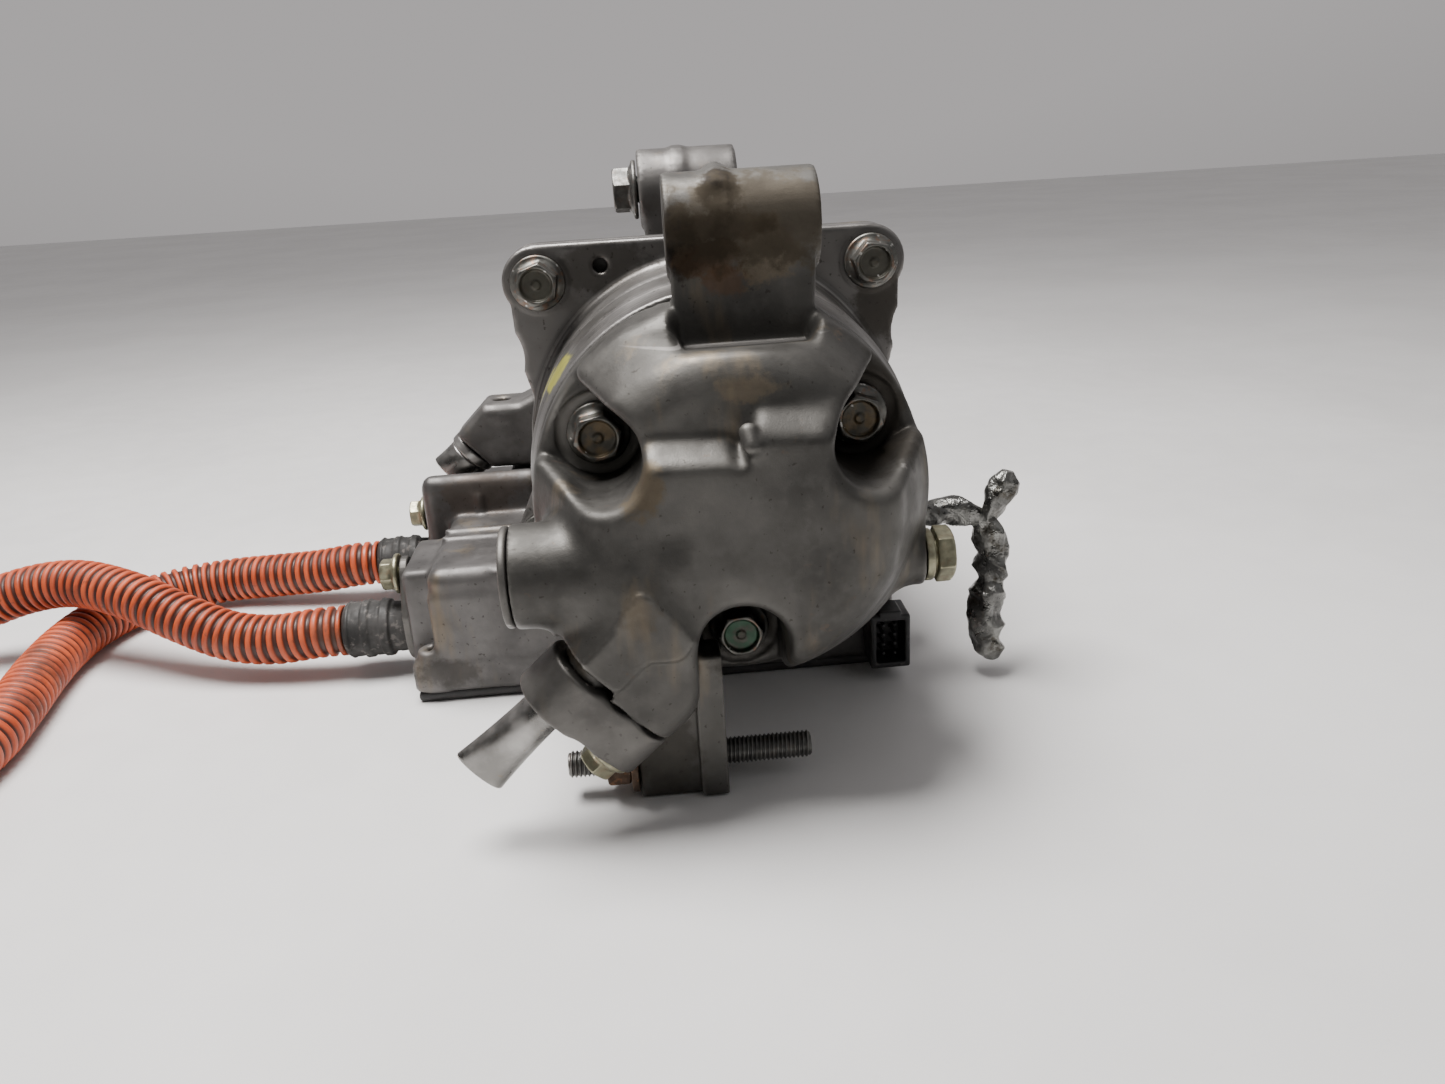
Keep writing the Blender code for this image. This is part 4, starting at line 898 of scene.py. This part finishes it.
def port_body(block, start, end):
    """The port's round pipe end and its bolt end, run together."""
    pipe_end = port_rod(block, PORT_PIPE, start, end + 0.001, 0.0108, 0.0010)
    bolt_end = port_rod(block, PORT_BOLT, start, end, 0.0084, 0.0008)
    return add(add(pipe_end, port_rod(block, -0.0015, start, end, 0.0095, 0.0008), 0.004), bolt_end, 0.005)


def leg(block):
    """The lug below: its right part stands further forward than its left part."""
    rear, step = STUD[1] + 0.0135, STUD[1] - 0.0060
    outline = [(-0.0325, rear), (-0.0325, step), (-0.0150, step), (-0.0150, step - 0.0025)]
    outline += [(-0.0070, step - 0.0025), (-0.0070, rear)]
    return block.plate(outline, "Z", 0.0004, 0.0452, 0.0007)


def cross_bore(block, place, radius, edge):
    """A bore along X, right through a mounting lug."""
    x, y, z = place
    block.cut(block.pin(radius, x - 0.04, x + 0.04, y, z), edge)


def make_discharge_housing():
    block = Block((-0.0620, PLATEAU_Y - 0.001, 0.0), (0.0620, 0.0345, 0.1725), 0.00086)
    block.grow(front_dome(block))
    block.grow(block.pin(0.0139, -0.0600, -0.0150, *SEPARATOR, 0.0006), 0.0050)
    block.grow(block.pin(0.0085, 0.0532, 0.0300, *RELIEF, 0.0006), 0.0040)
    port = take(port_body(block, -0.0280, -0.0012), block.box((-0.1, JOINT_Y, -0.1), (0.1, 0.1, 0.3)))
    block.grow(port, 0.0080)
    block.cut(bolt_pockets(block), 0.0042)
    block.grow(block.rod((0.0034, -0.0312, 0.1060), (0.0022, -0.0262, 0.1125), 0.0024, 0.0020), 0.0030)
    block.grow(leg(block), 0.0025)
    beside = np.clip((np.abs(block.x - WEB_X) - 0.0190) / 0.0030, 0, 1)
    block.grow(top_lug(block), 0.0012 + 0.0045 * beside)
    for degrees in POCKET_ANGLES:
        x, z = around(POCKET_OUT, degrees)
        block.cut(block.disc(0.0113, SEAT_Y - 0.012, SEAT_Y, x, z, 0.0002), 0.0004)
        block.cut(block.disc(0.0043, 0, 0.03, x, z), 0.0003)
    block.cut(block.disc(0.0591, JOINT_Y, 0.06), 0.0003)
    block.cut(block.disc(0.0270, -0.0150, 0.03), 0.0010)
    block.cut(block.pin(0.0104, -0.070, -0.015, *SEPARATOR), 0.0005)
    block.cut(block.pin(0.0046, 0.070, 0.020, *RELIEF), 0.0004)
    cross_bore(block, TOP_BOSS, 0.0055, 0.0010)
    cross_bore(block, STUD, 0.0043, 0.0006)
    block.cut(port_rod(block, PORT_PIPE, -0.034, 0.002, 0.0040), 0.0005)
    block.cut(port_rod(block, PORT_BOLT, -0.012, 0.002, 0.0033), 0.0005)
    groove = port_rod(block, PORT_PIPE, -0.0034, 0.002, 0.0118, 0.0002)
    block.cut(np.maximum(groove, -port_rod(block, PORT_PIPE, -0.01, 0.01, 0.0078)), 0.0005)
    settle(block.surface("discharge_cover_casting"), "housing", "cast_aluminium", "discharge_housing")


def ear_outline():
    """The eared flange: flat on top between the ears, with concave necks down to the round body."""
    right = [
        *arc(UPPER_EAR, 0.0115, 90, -35, 12),
        *arc((0.0765, 0.1150), 0.0160, 150, 196, 10),
        *arc((0, SHAFT_Z), 0.0610, 16, -8, 8),
        *arc(LOWER_EAR, 0.0098, 28, -110, 12),
        (0.046, 0.0436),
    ]
    return [*right, *[(-x, z) for x, z in reversed(right)]]


def ear_holes(block):
    for x, z in EAR_BOLTS:
        block.cut(block.disc(0.0043, 0.06, 0.1, x, z), 0.0004)


def make_scroll_housing():
    start, end = JOINT_Y + 0.0012, SEAM_Y - 0.0003
    block = Block((-0.0725, start, 0.0225), (0.0725, end, 0.1515), 0.00084)
    profile = [(0.0530, start), (0.0560, start), (0.0572, 0.0270), (0.0582, 0.0300), (0.0585, 0.0458)]
    profile += [(0.0578, 0.0468), (0.0578, 0.0510), (0.0585, 0.0520), (0.0585, end), (0.0530, end)]
    block.grow(block.turned(profile))
    ears = take(block.plate(ear_outline(), "Y", EAR_FRONT_Y, end, 0.0007), block.disc(0.0540, 0.0, 0.1))
    block.grow(ears, 0.0050)
    for x, z in EAR_BOLTS:
        block.grow(block.disc(0.0098, EAR_FRONT_Y - 0.0001, EAR_FRONT_Y + 0.003, x, z, 0.0004), 0.0008)
    block.grow(block.box((0.0480, 0.0430, 0.0520), (0.0600, 0.0570, 0.0640), 0.0010), 0.0020)
    block.cut(block.disc(0.0530, 0.0, 0.1), 0.0004)
    ear_holes(block)
    block.cut(block.disc(0.0022, 0.06, 0.1, -0.0333, 0.1425))
    settle(block.surface("scroll_casing"), "machined", "machined_aluminium", "scroll_housing")


def make_motor_housing():
    block = Block((-0.0985, SEAM_Y, 0.0225), (0.0725, REAR_Y, 0.1770), 0.0012)
    radius = np.hypot(block.x, block.z - SHAFT_Z)
    length = np.abs(block.y - (SEAM_Y + REAR_Y) / 2) - (REAR_Y - SEAM_Y) / 2
    block.grow(np.minimum(meet(radius - 0.0590, length, 0.0060), block.disc(0.0590, SEAM_Y, SEAM_Y + 0.02)))
    dish = np.maximum(block.disc(0.0480, REAR_Y - 0.0016, 0.19, edge=0.001), -block.disc(0.0235, 0.17, 0.20))
    block.cut(dish, 0.0015)
    block.grow(block.plate(ear_outline(), "Y", SEAM_Y, EAR_REAR_Y, 0.0007), 0.0050)
    x, y, z = REAR_BOSS
    block.grow(block.box((x - 0.0163, y - 0.0123, 0.136), (x + 0.0163, y + 0.0123, z), 0.0020), 0.0060)
    block.grow(block.pin(0.0135, x - 0.0175, x + 0.0175, y, z, 0.0007))
    collar = block.pin(0.0143, x - 0.0058, x - 0.0002, y, z)
    rib = block.box((x - 0.0058, y - 0.0143, 0.1360), (x - 0.0002, y, z), 0.0006)
    block.grow(np.minimum(collar, rib), 0.0006)
    port = [(-0.050, 0.0620), (-0.0845, 0.0622), (-0.0970, 0.0758), (-0.0850, 0.0875)]
    port += [(-0.0715, 0.0875), (-0.045, 0.100)]
    block.grow(block.plate(port, "Y", 0.1282, 0.1518, 0.0042), 0.0075)
    hollow = [(0, SEAM_Y - 0.01), (0.0512, SEAM_Y - 0.01), (0.0512, 0.1700), (0.0200, 0.1740)]
    hollow += [(0.0200, 0.1665), (0.0143, 0.1665), (0.0143, 0.1785), (0, 0.1785)]
    block.cut(block.turned(hollow), 0.0008)
    cross_bore(block, REAR_BOSS, 0.0053, 0.0008)
    block.cut(block.rod((-0.0905, 0.140, 0.0690), (-0.040, 0.140, 0.0830), 0.0060), 0.0005)
    block.cut(block.rod((-0.0790, 0.140, 0.105), (-0.0790, 0.140, 0.078), 0.0033))
    block.cut(block.rod((0, 0.1560, 0.015), (0, 0.1560, 0.045), 0.0083), 0.0005)
    ear_holes(block)
    settle(block.surface("motor_casing"), "motor", "cast_aluminium", "motor_housing")


def make_inverter_case():
    """The cast tray beside and under the motor: tower, ledges, gland blocks and a foot with its screw lug."""
    block = Block((-0.1155, 0.0575, 0.0030), (0.0592, 0.1845, 0.0640), 0.0010)
    base = 0.0038
    for low, high, edge, fillet in (
        ((-0.1015, 0.0580, base), (0.0580, 0.1840, 0.0400), 0.0025, 0),
        ((-0.1100, 0.0580, base), (0.0585, 0.1840, 0.0145), 0.0015, 0.0030),
        ((-0.1011, 0.0580, base + 0.0010), (-0.0560, 0.1840, 0.0480), 0.0050, 0.0020),
        ((-0.1108, 0.1180, base + 0.0020), (-0.0660, 0.1838, 0.0612), 0.0045, 0.0030),
        ((-0.1108, 0.1180, base + 0.0020), (-0.0660, 0.1262, 0.0632), 0.0040, 0.0020),
        ((-0.0905, 0.1165, 0.0400), (-0.0880, 0.1200, 0.0560), 0.0010, 0.0020),
        ((-0.1000, 0.0900, 0.0400), (-0.0700, 0.0925, 0.0490), 0.0008, 0.0015),
        ((-0.1000, 0.0980, 0.0400), (-0.0700, 0.1005, 0.0490), 0.0008, 0.0015),
        ((-0.1120, 0.0705, base + 0.0005), (-0.0995, 0.1055, 0.0440), 0.0025, 0.0030),
        ((-0.1150, 0.1440, base + 0.0015), (-0.0995, 0.1760, 0.0460), 0.0025, 0.0030),
    ):
        block.grow(block.box(low, high, edge), fillet)
    block.grow(block.rod((-0.0760, 0.0620, base + 0.001), (-0.0760, 0.0620, 0.0470), 0.0040, 0.0010), 0.0030)
    block.grow(block.rod((-0.1030, 0.0630, base), (-0.1030, 0.0630, 0.0185), 0.0052, 0.0010), 0.0030)
    block.cut(block.rod((-0.1030, 0.0630, 0.012), (-0.1030, 0.0630, 0.03), 0.0018))
    block.cut(block.disc(0.0596, 0.05, 0.19), 0.0008)
    block.cut(block.disc(0.0690, 0.05, EAR_REAR_Y + 0.0003), 0.0008)
    for x, z in EAR_BOLTS[2:]:
        block.cut(block.disc(0.0125, 0.05, EAR_REAR_Y + 0.0003, x, z))
    block.cut(block.box((-0.0975, 0.0620, -0.01), (-0.0560, 0.1800, 0.0440), 0.001), 0.0004)
    block.cut(block.box((-0.0570, 0.0880, -0.01), (0.0540, 0.1800, 0.0200), 0.001), 0.0004)
    for x, y, z in (FRONT_GLAND, REAR_GLAND):
        block.cut(block.pin(0.0084, x - 0.005, x + 0.014, y, z), 0.0004)
        block.cut(block.pin(0.0034, x - 0.005, x + 0.006, y, z + GLAND_BOLT_UP), 0.0003)
    block.cut(block.rod((0, 0.1560, 0.010), (0, 0.1560, 0.045), 0.0084), 0.0004)
    block.cut(block.box((-0.12, 0.1280, 0.0480), (-0.0780, 0.19, 0.07), 0.002), 0.0015)
    block.cut(block.box((0.0480, 0.0500, 0.0100), (0.0540, 0.0920, 0.0180)), 0.0004)
    settle(block.surface("inverter_tray_casting"), "case", "cast_aluminium", "inverter_case")


def make_discharge_fitting():
    corners = np.array([along_port(s, o) for s in (-0.022, 0.022) for o in (-0.001, 0.016)])
    beside = np.array((0, 0.0115, 0))
    block = Block(corners.min(axis=0) - beside, corners.max(axis=0) + beside, 0.0004)
    block.grow(port_body(block, 0.0, PORT_THICK))
    block.grow(port_rod(block, PORT_PIPE, PORT_THICK - 0.003, PORT_THICK + 0.001, 0.0088, 0.0010))
    block.cut(port_rod(block, PORT_BOLT, -0.01, 0.03, 0.0034), 0.0005)
    block.cut(port_rod(block, PORT_PIPE, PORT_THICK - 0.002, 0.03, 0.0065), 0.0005)
    settle(block.surface("discharge_port_fitting"), "fitting", "cast_aluminium", "discharge_fitting")


def pinched_stub(name, start, end, radius, pinch, spread, node):
    """A bare pipe stub whose sawn end is squeezed towards flat, with its bore showing."""
    out = straight(start, end, 0.0004)
    back = out[::-1][: len(out) // 2]
    share = np.clip((np.arange(len(out)) / (len(out) - 1) - 0.15) / 0.85, 0, 1) ** 1.6
    squeeze = np.stack([1 + (pinch - 1) * share, 1 + (spread - 1) * share], axis=1)
    outer, inner = np.full(len(out), radius), np.full(len(back), radius - 0.0012)
    outer[0], outer[-1], inner[0] = radius - 0.0004, radius - 0.0002, radius - 0.0010
    radii = np.concatenate([outer, inner])[:, None].repeat(48, axis=1)
    squeeze = np.concatenate([squeeze, squeeze[::-1][: len(back)]])
    pipe = swept(name, [*out, *back], radii, squeeze, (Vector(end) - Vector(start)).normalized())
    return settle(pipe, "pipe", "bare_pipe", node)


# Screws, fittings and seals

FIT = 0.0003
ZINC_BOLT = (0.0100, 0.0066, 0.0030)
CASE_BOLT = (0.0120, 0.0077, 0.0040)
MOUNT_BOLT = (0.0140, 0.0085, 0.0050)


def placed(thing, seat, axis, turn=0.0):
    """Moves a piece drawn along +Z onto its seat in the shaft frame, pointing along an axis."""
    turned_to = Vector(axis).to_track_quat("Z", "Y").to_matrix().to_4x4()
    spin = Matrix.Rotation(math.radians(turn), 4, "Z")
    thing.data.transform(Matrix.Translation(Vector(seat) + ORIGIN) @ turned_to @ spin)
    return thing


def joined(name, things):
    """One object from several, keeping their points and smooth faces."""
    points, faces, smooth = [], [], []
    for thing in things:
        first = len(points)
        points += [v.co[:] for v in thing.data.vertices]
        faces += [[first + i for i in p.vertices] for p in thing.data.polygons]
        smooth += [p.use_smooth for p in thing.data.polygons]
        bpy.data.meshes.remove(thing.data)
    mesh = bpy.data.meshes.new(name)
    mesh.from_pydata(points, [], faces)
    mesh.polygons.foreach_set("use_smooth", smooth)
    mesh.update()
    result = bpy.data.objects.new(name, mesh)
    bpy.context.scene.collection.objects.link(result)
    return result


def hexagon(block, across_flats, start, end):
    """A hexagonal prism along Z, with its corners turned off at the far end."""
    angles = (math.pi / 6, math.pi / 2, 5 * math.pi / 6)
    flats = [np.abs(block.x * math.cos(a) + block.y * math.sin(a)) for a in angles]
    prism = np.maximum(np.maximum(flats[0], flats[1]), flats[2]) - across_flats / 2
    prism = meet(prism, np.abs(block.z - (start + end) / 2) - (end - start) / 2, 0.0003)
    chamfer = (np.hypot(block.x, block.y) - across_flats * 0.505 + (block.z - end) * 1.5) * 0.55
    return meet(prism, chamfer, 0.0003)


def thread(name, length, radius, pitch, both_ends=False):
    """A threaded rod from Z = 0 downwards, with a bevelled end."""
    rings = round(8 * length / pitch)
    points = [Vector((0, 0, -length * i / rings)) for i in range(rings + 1)]
    along = -np.array([p.z for p in points])[:, None]
    angles = np.linspace(0, 1, 32, endpoint=False)[None, :]
    crest = 2 * np.abs((along / pitch + angles) % 1.0 - 0.5)
    radii = radius - 0.52 * pitch * np.clip(1.25 - 1.3 * crest, 0, 1)
    bevel = radius - 0.0009 + np.minimum(along + (0 if both_ends else 1), length - along)
    return swept(name, points, np.minimum(radii, bevel), axis=Vector((0, 0, -1)))


def make_bolt(name, node, seat, axis, sizes, length, look, slot, turn=0.0, pitch=0.00125):
    """A hexagon-flange bolt whose head has a wide shallow dish inside a thin rim."""
    flats, head, shank = sizes
    wide = 0.72 * flats
    block = Block((-wide, -wide, 0), (wide, wide, head), 0.00027, (0, 0, 0))
    block.grow(hexagon(block, flats, 0.0005, head))
    block.grow(block.post(wide, 0, 0.0016), 0.0006)
    block.grow(block.post(wide * 0.98, 0.0010, 0.0032, 0.0003, flats * 0.48), 0.0008)
    block.cut(block.post(flats * 0.395, head - 0.0013, head + 0.0030, 0.0004, flats * 0.49), 0.0004)
    block.grow(block.post(flats * 0.10, head - 0.0018, head - 0.0010, 0.0002), 0.0006)
    bolt = joined(name, [block.surface(f"{name}_head"), thread(f"{name}_shank", length, shank, pitch)])
    spots = np.empty(3 * len(bolt.data.vertices), np.float32)
    bolt.data.vertices.foreach_get("co", spots)
    spots = spots.reshape(-1, 3)
    inside = np.clip((flats * 0.452 - np.hypot(spots[:, 0], spots[:, 1])) / 0.0004, 0, 1)
    inside = inside * (spots[:, 2] > head - 0.0022)
    bolt.data.attributes.new("dish", "FLOAT", "POINT").data.foreach_set("value", inside.astype(np.float32))
    return settle(placed(bolt, seat, axis, turn), look, slot, node)


def make_bolts():
    front = (0, -1, 0)
    pockets = [around(POCKET_OUT, degrees) for degrees in POCKET_ANGLES]
    for name, (x, z), look, turn in (
        ("left", pockets[0], "oily_bolt", 12),
        ("right", pockets[1], "oily_bolt", 40),
        ("lower", pockets[2], "green_bolt", 5),
    ):
        seat, node = (x, SEAT_Y - FIT, z), f"{name}_pocket_bolt"
        make_bolt(f"{name}_cover_bolt", node, seat, front, CASE_BOLT, 0.0185, look, "steel", turn)
    names = ("upper_left", "upper_right", "lower_left", "lower_right")
    for name, (x, z), turn in zip(names, EAR_BOLTS, (20, 50, 0, 33)):
        seat, node = (x, EAR_FRONT_Y - FIT, z), f"{name}_flange_bolt"
        make_bolt(f"{name}_ear_bolt", node, seat, front, CASE_BOLT, 0.0150, "ear_bolt", "steel", turn)
    x, y, z = REAR_BOSS
    seat, left = (x - 0.0180, y, z), (-1, 0, 0)
    make_bolt("through_bolt", "rear_mount_bolt", seat, left, MOUNT_BOLT, 0.0580, "thread", "steel", 14)
    seat, node = along_port(PORT_BOLT, PORT_THICK), "discharge_fitting_bolt"
    make_bolt("port_bolt", node, seat, PORT_NORMAL, ZINC_BOLT, 0.0220, "zinc", "zinc_steel", 8, 0.001)
    for side, (x, y, z), turn in (("front", FRONT_GLAND, 0), ("rear", REAR_GLAND, 25)):
        seat, node = (x - 0.0032 - 2 * FIT, y, z + GLAND_BOLT_UP), f"{side}_gland_bolt"
        name = f"{side}_clamp_bolt"
        make_bolt(name, node, seat, left, ZINC_BOLT, 0.0085, "zinc", "zinc_steel", turn, 0.001)


def make_mount_set():
    """The stud through the leg, with its washer and the rusty nut."""
    x, y, z = STUD
    left = (-1, 0, 0)
    stud = thread("mount_stud", 0.0710, 0.0040, 0.00125, both_ends=True)
    settle(placed(stud, (x - 0.0335, y, z), left), "thread", "steel", "lower_mount_stud")
    washer_end = x - 0.0130 - FIT
    block = Block((-0.0095, -0.0095, 0), (0.0095, 0.0095, 0.0020), 0.0003, (0, 0, 0))
    block.grow(block.post(0.0094, 0, 0.0020, 0.0004))
    block.cut(block.post(0.0043, -1, 1))
    washer = placed(block.surface("mount_washer"), (washer_end, y, z), left)
    settle(washer, "rusty", "steel", "lower_mount_washer")
    flats, thick = 0.0130, 0.0068
    block = Block((-0.0076, -0.0076, 0), (0.0076, 0.0076, thick), 0.00027, (0, 0, 0))
    back = (np.hypot(block.x, block.y) - flats * 0.505 - block.z * 1.5) * 0.55
    block.grow(meet(hexagon(block, flats, 0, thick), back, 0.0003))
    block.cut(block.post(0.0043, -1, 1), 0.0004)
    nut = placed(block.surface("mount_nut"), (washer_end - 0.0023, y, z), left, 22)
    settle(nut, "rusty", "rusty_steel", "lower_mount_nut")


def make_relief_valve():
    """The hex-headed relief plug, with its sealing collar and a vent hole in its face."""
    block = Block((-0.0085, -0.0085, -0.0180), (0.0085, 0.0085, 0.0084), 0.0003, (0, 0, 0))
    block.grow(block.post(0.0076, 0, 0.0024, 0.0004))
    block.grow(block.post(0.0056, 0, 0.0050, 0.0003), 0.0005)
    block.grow(hexagon(block, 0.0143, 0.0034, 0.0084), 0.0004)
    block.cut(block.post(0.0040, 0.0072, 0.0100, 0.0003), 0.0003)
    block.cut(block.post(0.0013, 0.0040, 0.0100, 0.0001), 0.0003)
    block.grow(block.post(0.0041, -0.0180, 0.0005, 0.0006), 0.0004)
    valve = placed(block.surface("relief_plug"), (0.0536, *RELIEF), (1, 0, 0), 10)
    settle(valve, "zinc", "zinc_steel", "relief_valve")


def make_separator_plug():
    block = Block((-0.0136, -0.0136, -0.0100), (0.0136, 0.0136, 0.0022), 0.0004, (0, 0, 0))
    block.grow(block.post(0.0135, 0, 0.0022, 0.0008))
    block.cut(block.post(0.0104, 0.0016, 0.0070, 0.0003), 0.0005)
    block.grow(block.post(0.0100, -0.0100, 0.0005), 0.0003)
    block.cut(hexagon(block, 0.0080, -0.0040, 0.0090), 0.0003)
    plug = placed(block.surface("oil_plug"), (-0.0604, *SEPARATOR), (-1, 0, 0))
    settle(plug, "fitting", "machined_aluminium", "separator_plug")


def make_suction_stub():
    normal = Vector((-0.7302, 0.0, -0.6832))
    centre = Vector((-0.0905, 0.140, 0.0690)) + normal * 0.0004
    block = Block((-0.0095, -0.0095, 0), (0.0095, 0.0095, 0.0040), 0.0003, (0, 0, 0))
    block.grow(block.post(0.0093, 0, 0.0040, 0.0009))
    settle(placed(block.surface("suction_collar"), centre, normal), "pipe", "bare_pipe", "suction_fitting")
    start, end = centre + normal * 0.0043, centre + normal * 0.0150
    pinched_stub("suction_stub", start, end, 0.0084, 0.75, 1.1, "suction_pipe")


def make_glands():
    """The clamp plates over the leads, each with a raised rim round its bore."""
    for side, (x, y, z) in (("front", FRONT_GLAND), ("rear", REAR_GLAND)):
        outline = [*arc((y, z), 0.0122, 180, 360, 20), (y + 0.0122, z + 0.008)]
        outline += [*arc((y, z + GLAND_BOLT_UP), 0.0062, 0, 180, 14), (y - 0.0122, z + 0.008)]
        block = Block((x - 0.0035, y - 0.0125, z - 0.0125), (x - FIT, y + 0.0125, z + 0.0270), 0.0003)
        block.grow(block.plate(outline, "X", x - 0.0031, x - FIT))
        block.grow(block.pin(0.0104, x - 0.0035, x - FIT, y, z, 0.0004), 0.0008)
        block.cut(block.pin(0.0082, x - 0.02, x + 0.01, y, z), 0.0004)
        block.cut(block.pin(0.0033, x - 0.02, x + 0.01, y, z + GLAND_BOLT_UP), 0.0003)
        settle(block.surface(f"{side}_clamp_plate"), "fitting", "cast_aluminium", f"{side}_gland_plate")


def make_signal_socket():
    """The low-voltage socket, with ribs, a latch and two rows of pins in its mouth."""
    block = Block((0.0468, 0.0438, 0.0048), (0.0607, 0.0577, 0.0262), 0.0003)
    block.grow(block.box((0.0470, 0.0440, 0.0050), (0.0605, 0.0577, 0.0245), 0.0008))
    block.grow(block.box((0.0500, 0.0440, 0.0240), (0.0575, 0.0540, 0.0260), 0.0005), 0.0006)
    for z in (0.0085, 0.0125, 0.0165, 0.0205):
        block.grow(block.box((0.0600, 0.0452, z), (0.0607, 0.0570, z + 0.0012), 0.0002), 0.0003)
    block.cut(block.box((0.0488, 0.0300, 0.0070), (0.0587, 0.0540, 0.0225), 0.0006), 0.0003)
    for x in (0.0518, 0.0557):
        for z in (0.0095, 0.0130, 0.0165, 0.0200):
            block.grow(block.rod((x, 0.0462, z), (x, 0.0545, z), 0.0006, 0.0002), 0.0002)
    settle(block.surface("low_voltage_socket"), "plastic", "black_plastic", "signal_connector")


def make_case_cover():
    """The dark lid under the inverter tray, with turned-up ribs round its edge."""
    low, high = (-0.1095, 0.0585, 0.0), (0.0580, 0.1835, 0.0035)
    block = Block(low, high, 0.0007)
    block.grow(block.box(low, high, 0.0012))
    block.cut(block.box((-0.1010, 0.0670, -0.01), (0.0495, 0.1750, 0.0009), 0.0005), 0.0008)
    for x in (-0.0650, -0.0260, 0.0130):
        block.grow(block.box((x - 0.0012, 0.0660, 0.0002), (x + 0.0012, 0.1760, 0.0030), 0.0005), 0.0006)
    settle(block.surface("inverter_lid"), "cover", "dark_cover", "inverter_cover")


# CAD pieces that stay as they are, and their looks

KEPT = {
    "bright": ("fixed_scroll", "orbiting_scroll", "oil_separator_tube", "eccentric_bush", "discharge_reed"),
    "steel": (
        "anti_rotation_pin_1", "anti_rotation_pin_2", "anti_rotation_pin_3", "valve_stop", "crankshaft",
        "balance_weight", "main_bearing_inner_race", "main_bearing_outer_race", "rear_bearing_inner_race",
        "rear_bearing_outer_race", "scroll_bearing", "hermetic_terminal",
    ),
    "motor": ("main_frame",),
    "lamination": ("stator_core", "rotor_core"),
    "copper": ("front_winding", "rear_winding"),
    "gasket": ("discharge_gasket",),
    "board": ("control_board",),
    "plastic": ("smoothing_capacitor",),
}


def keep_cad_pieces():
    for look, nodes in KEPT.items():
        for node in nodes:
            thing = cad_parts[node]
            thing.data.materials.clear()
            thing.data.materials.append(LOOKS[look])


def make_floor():
    """A plain pale floor, which carries on past the view on every side."""
    span, count = 6.0, 24
    steps = np.linspace(-span / 2, span / 2, count + 1)
    points = [(x, y, -0.0002) for x in steps for y in steps]
    corners = [i * (count + 1) + j for i in range(count) for j in range(count)]
    quads = [(first, first + count + 1, first + count + 2, first + 1) for first in corners]
    floor = mesh_object("floor", points, quads)
    floor.data.materials.append(pale_floor("pale_floor"))


make_camera()
make_studio()
make_floor()
make_conduit("front", FRONT_ROUTE, FRONT_GLAND)
make_conduit("rear", REAR_ROUTE, REAR_GLAND)
make_signal_lead()
make_discharge_housing()
make_scroll_housing()
make_motor_housing()
make_inverter_case()
make_case_cover()
make_discharge_fitting()
STUB_START, STUB_END = along_port(PORT_PIPE, 0.0116), along_port(PORT_PIPE, 0.0425)
pinched_stub("discharge_stub", STUB_START, STUB_END, 0.0060, 0.45, 1.32, "discharge_pipe")
make_suction_stub()
make_relief_valve()
make_separator_plug()
make_glands()
make_signal_socket()
make_bolts()
make_mount_set()
keep_cad_pieces()
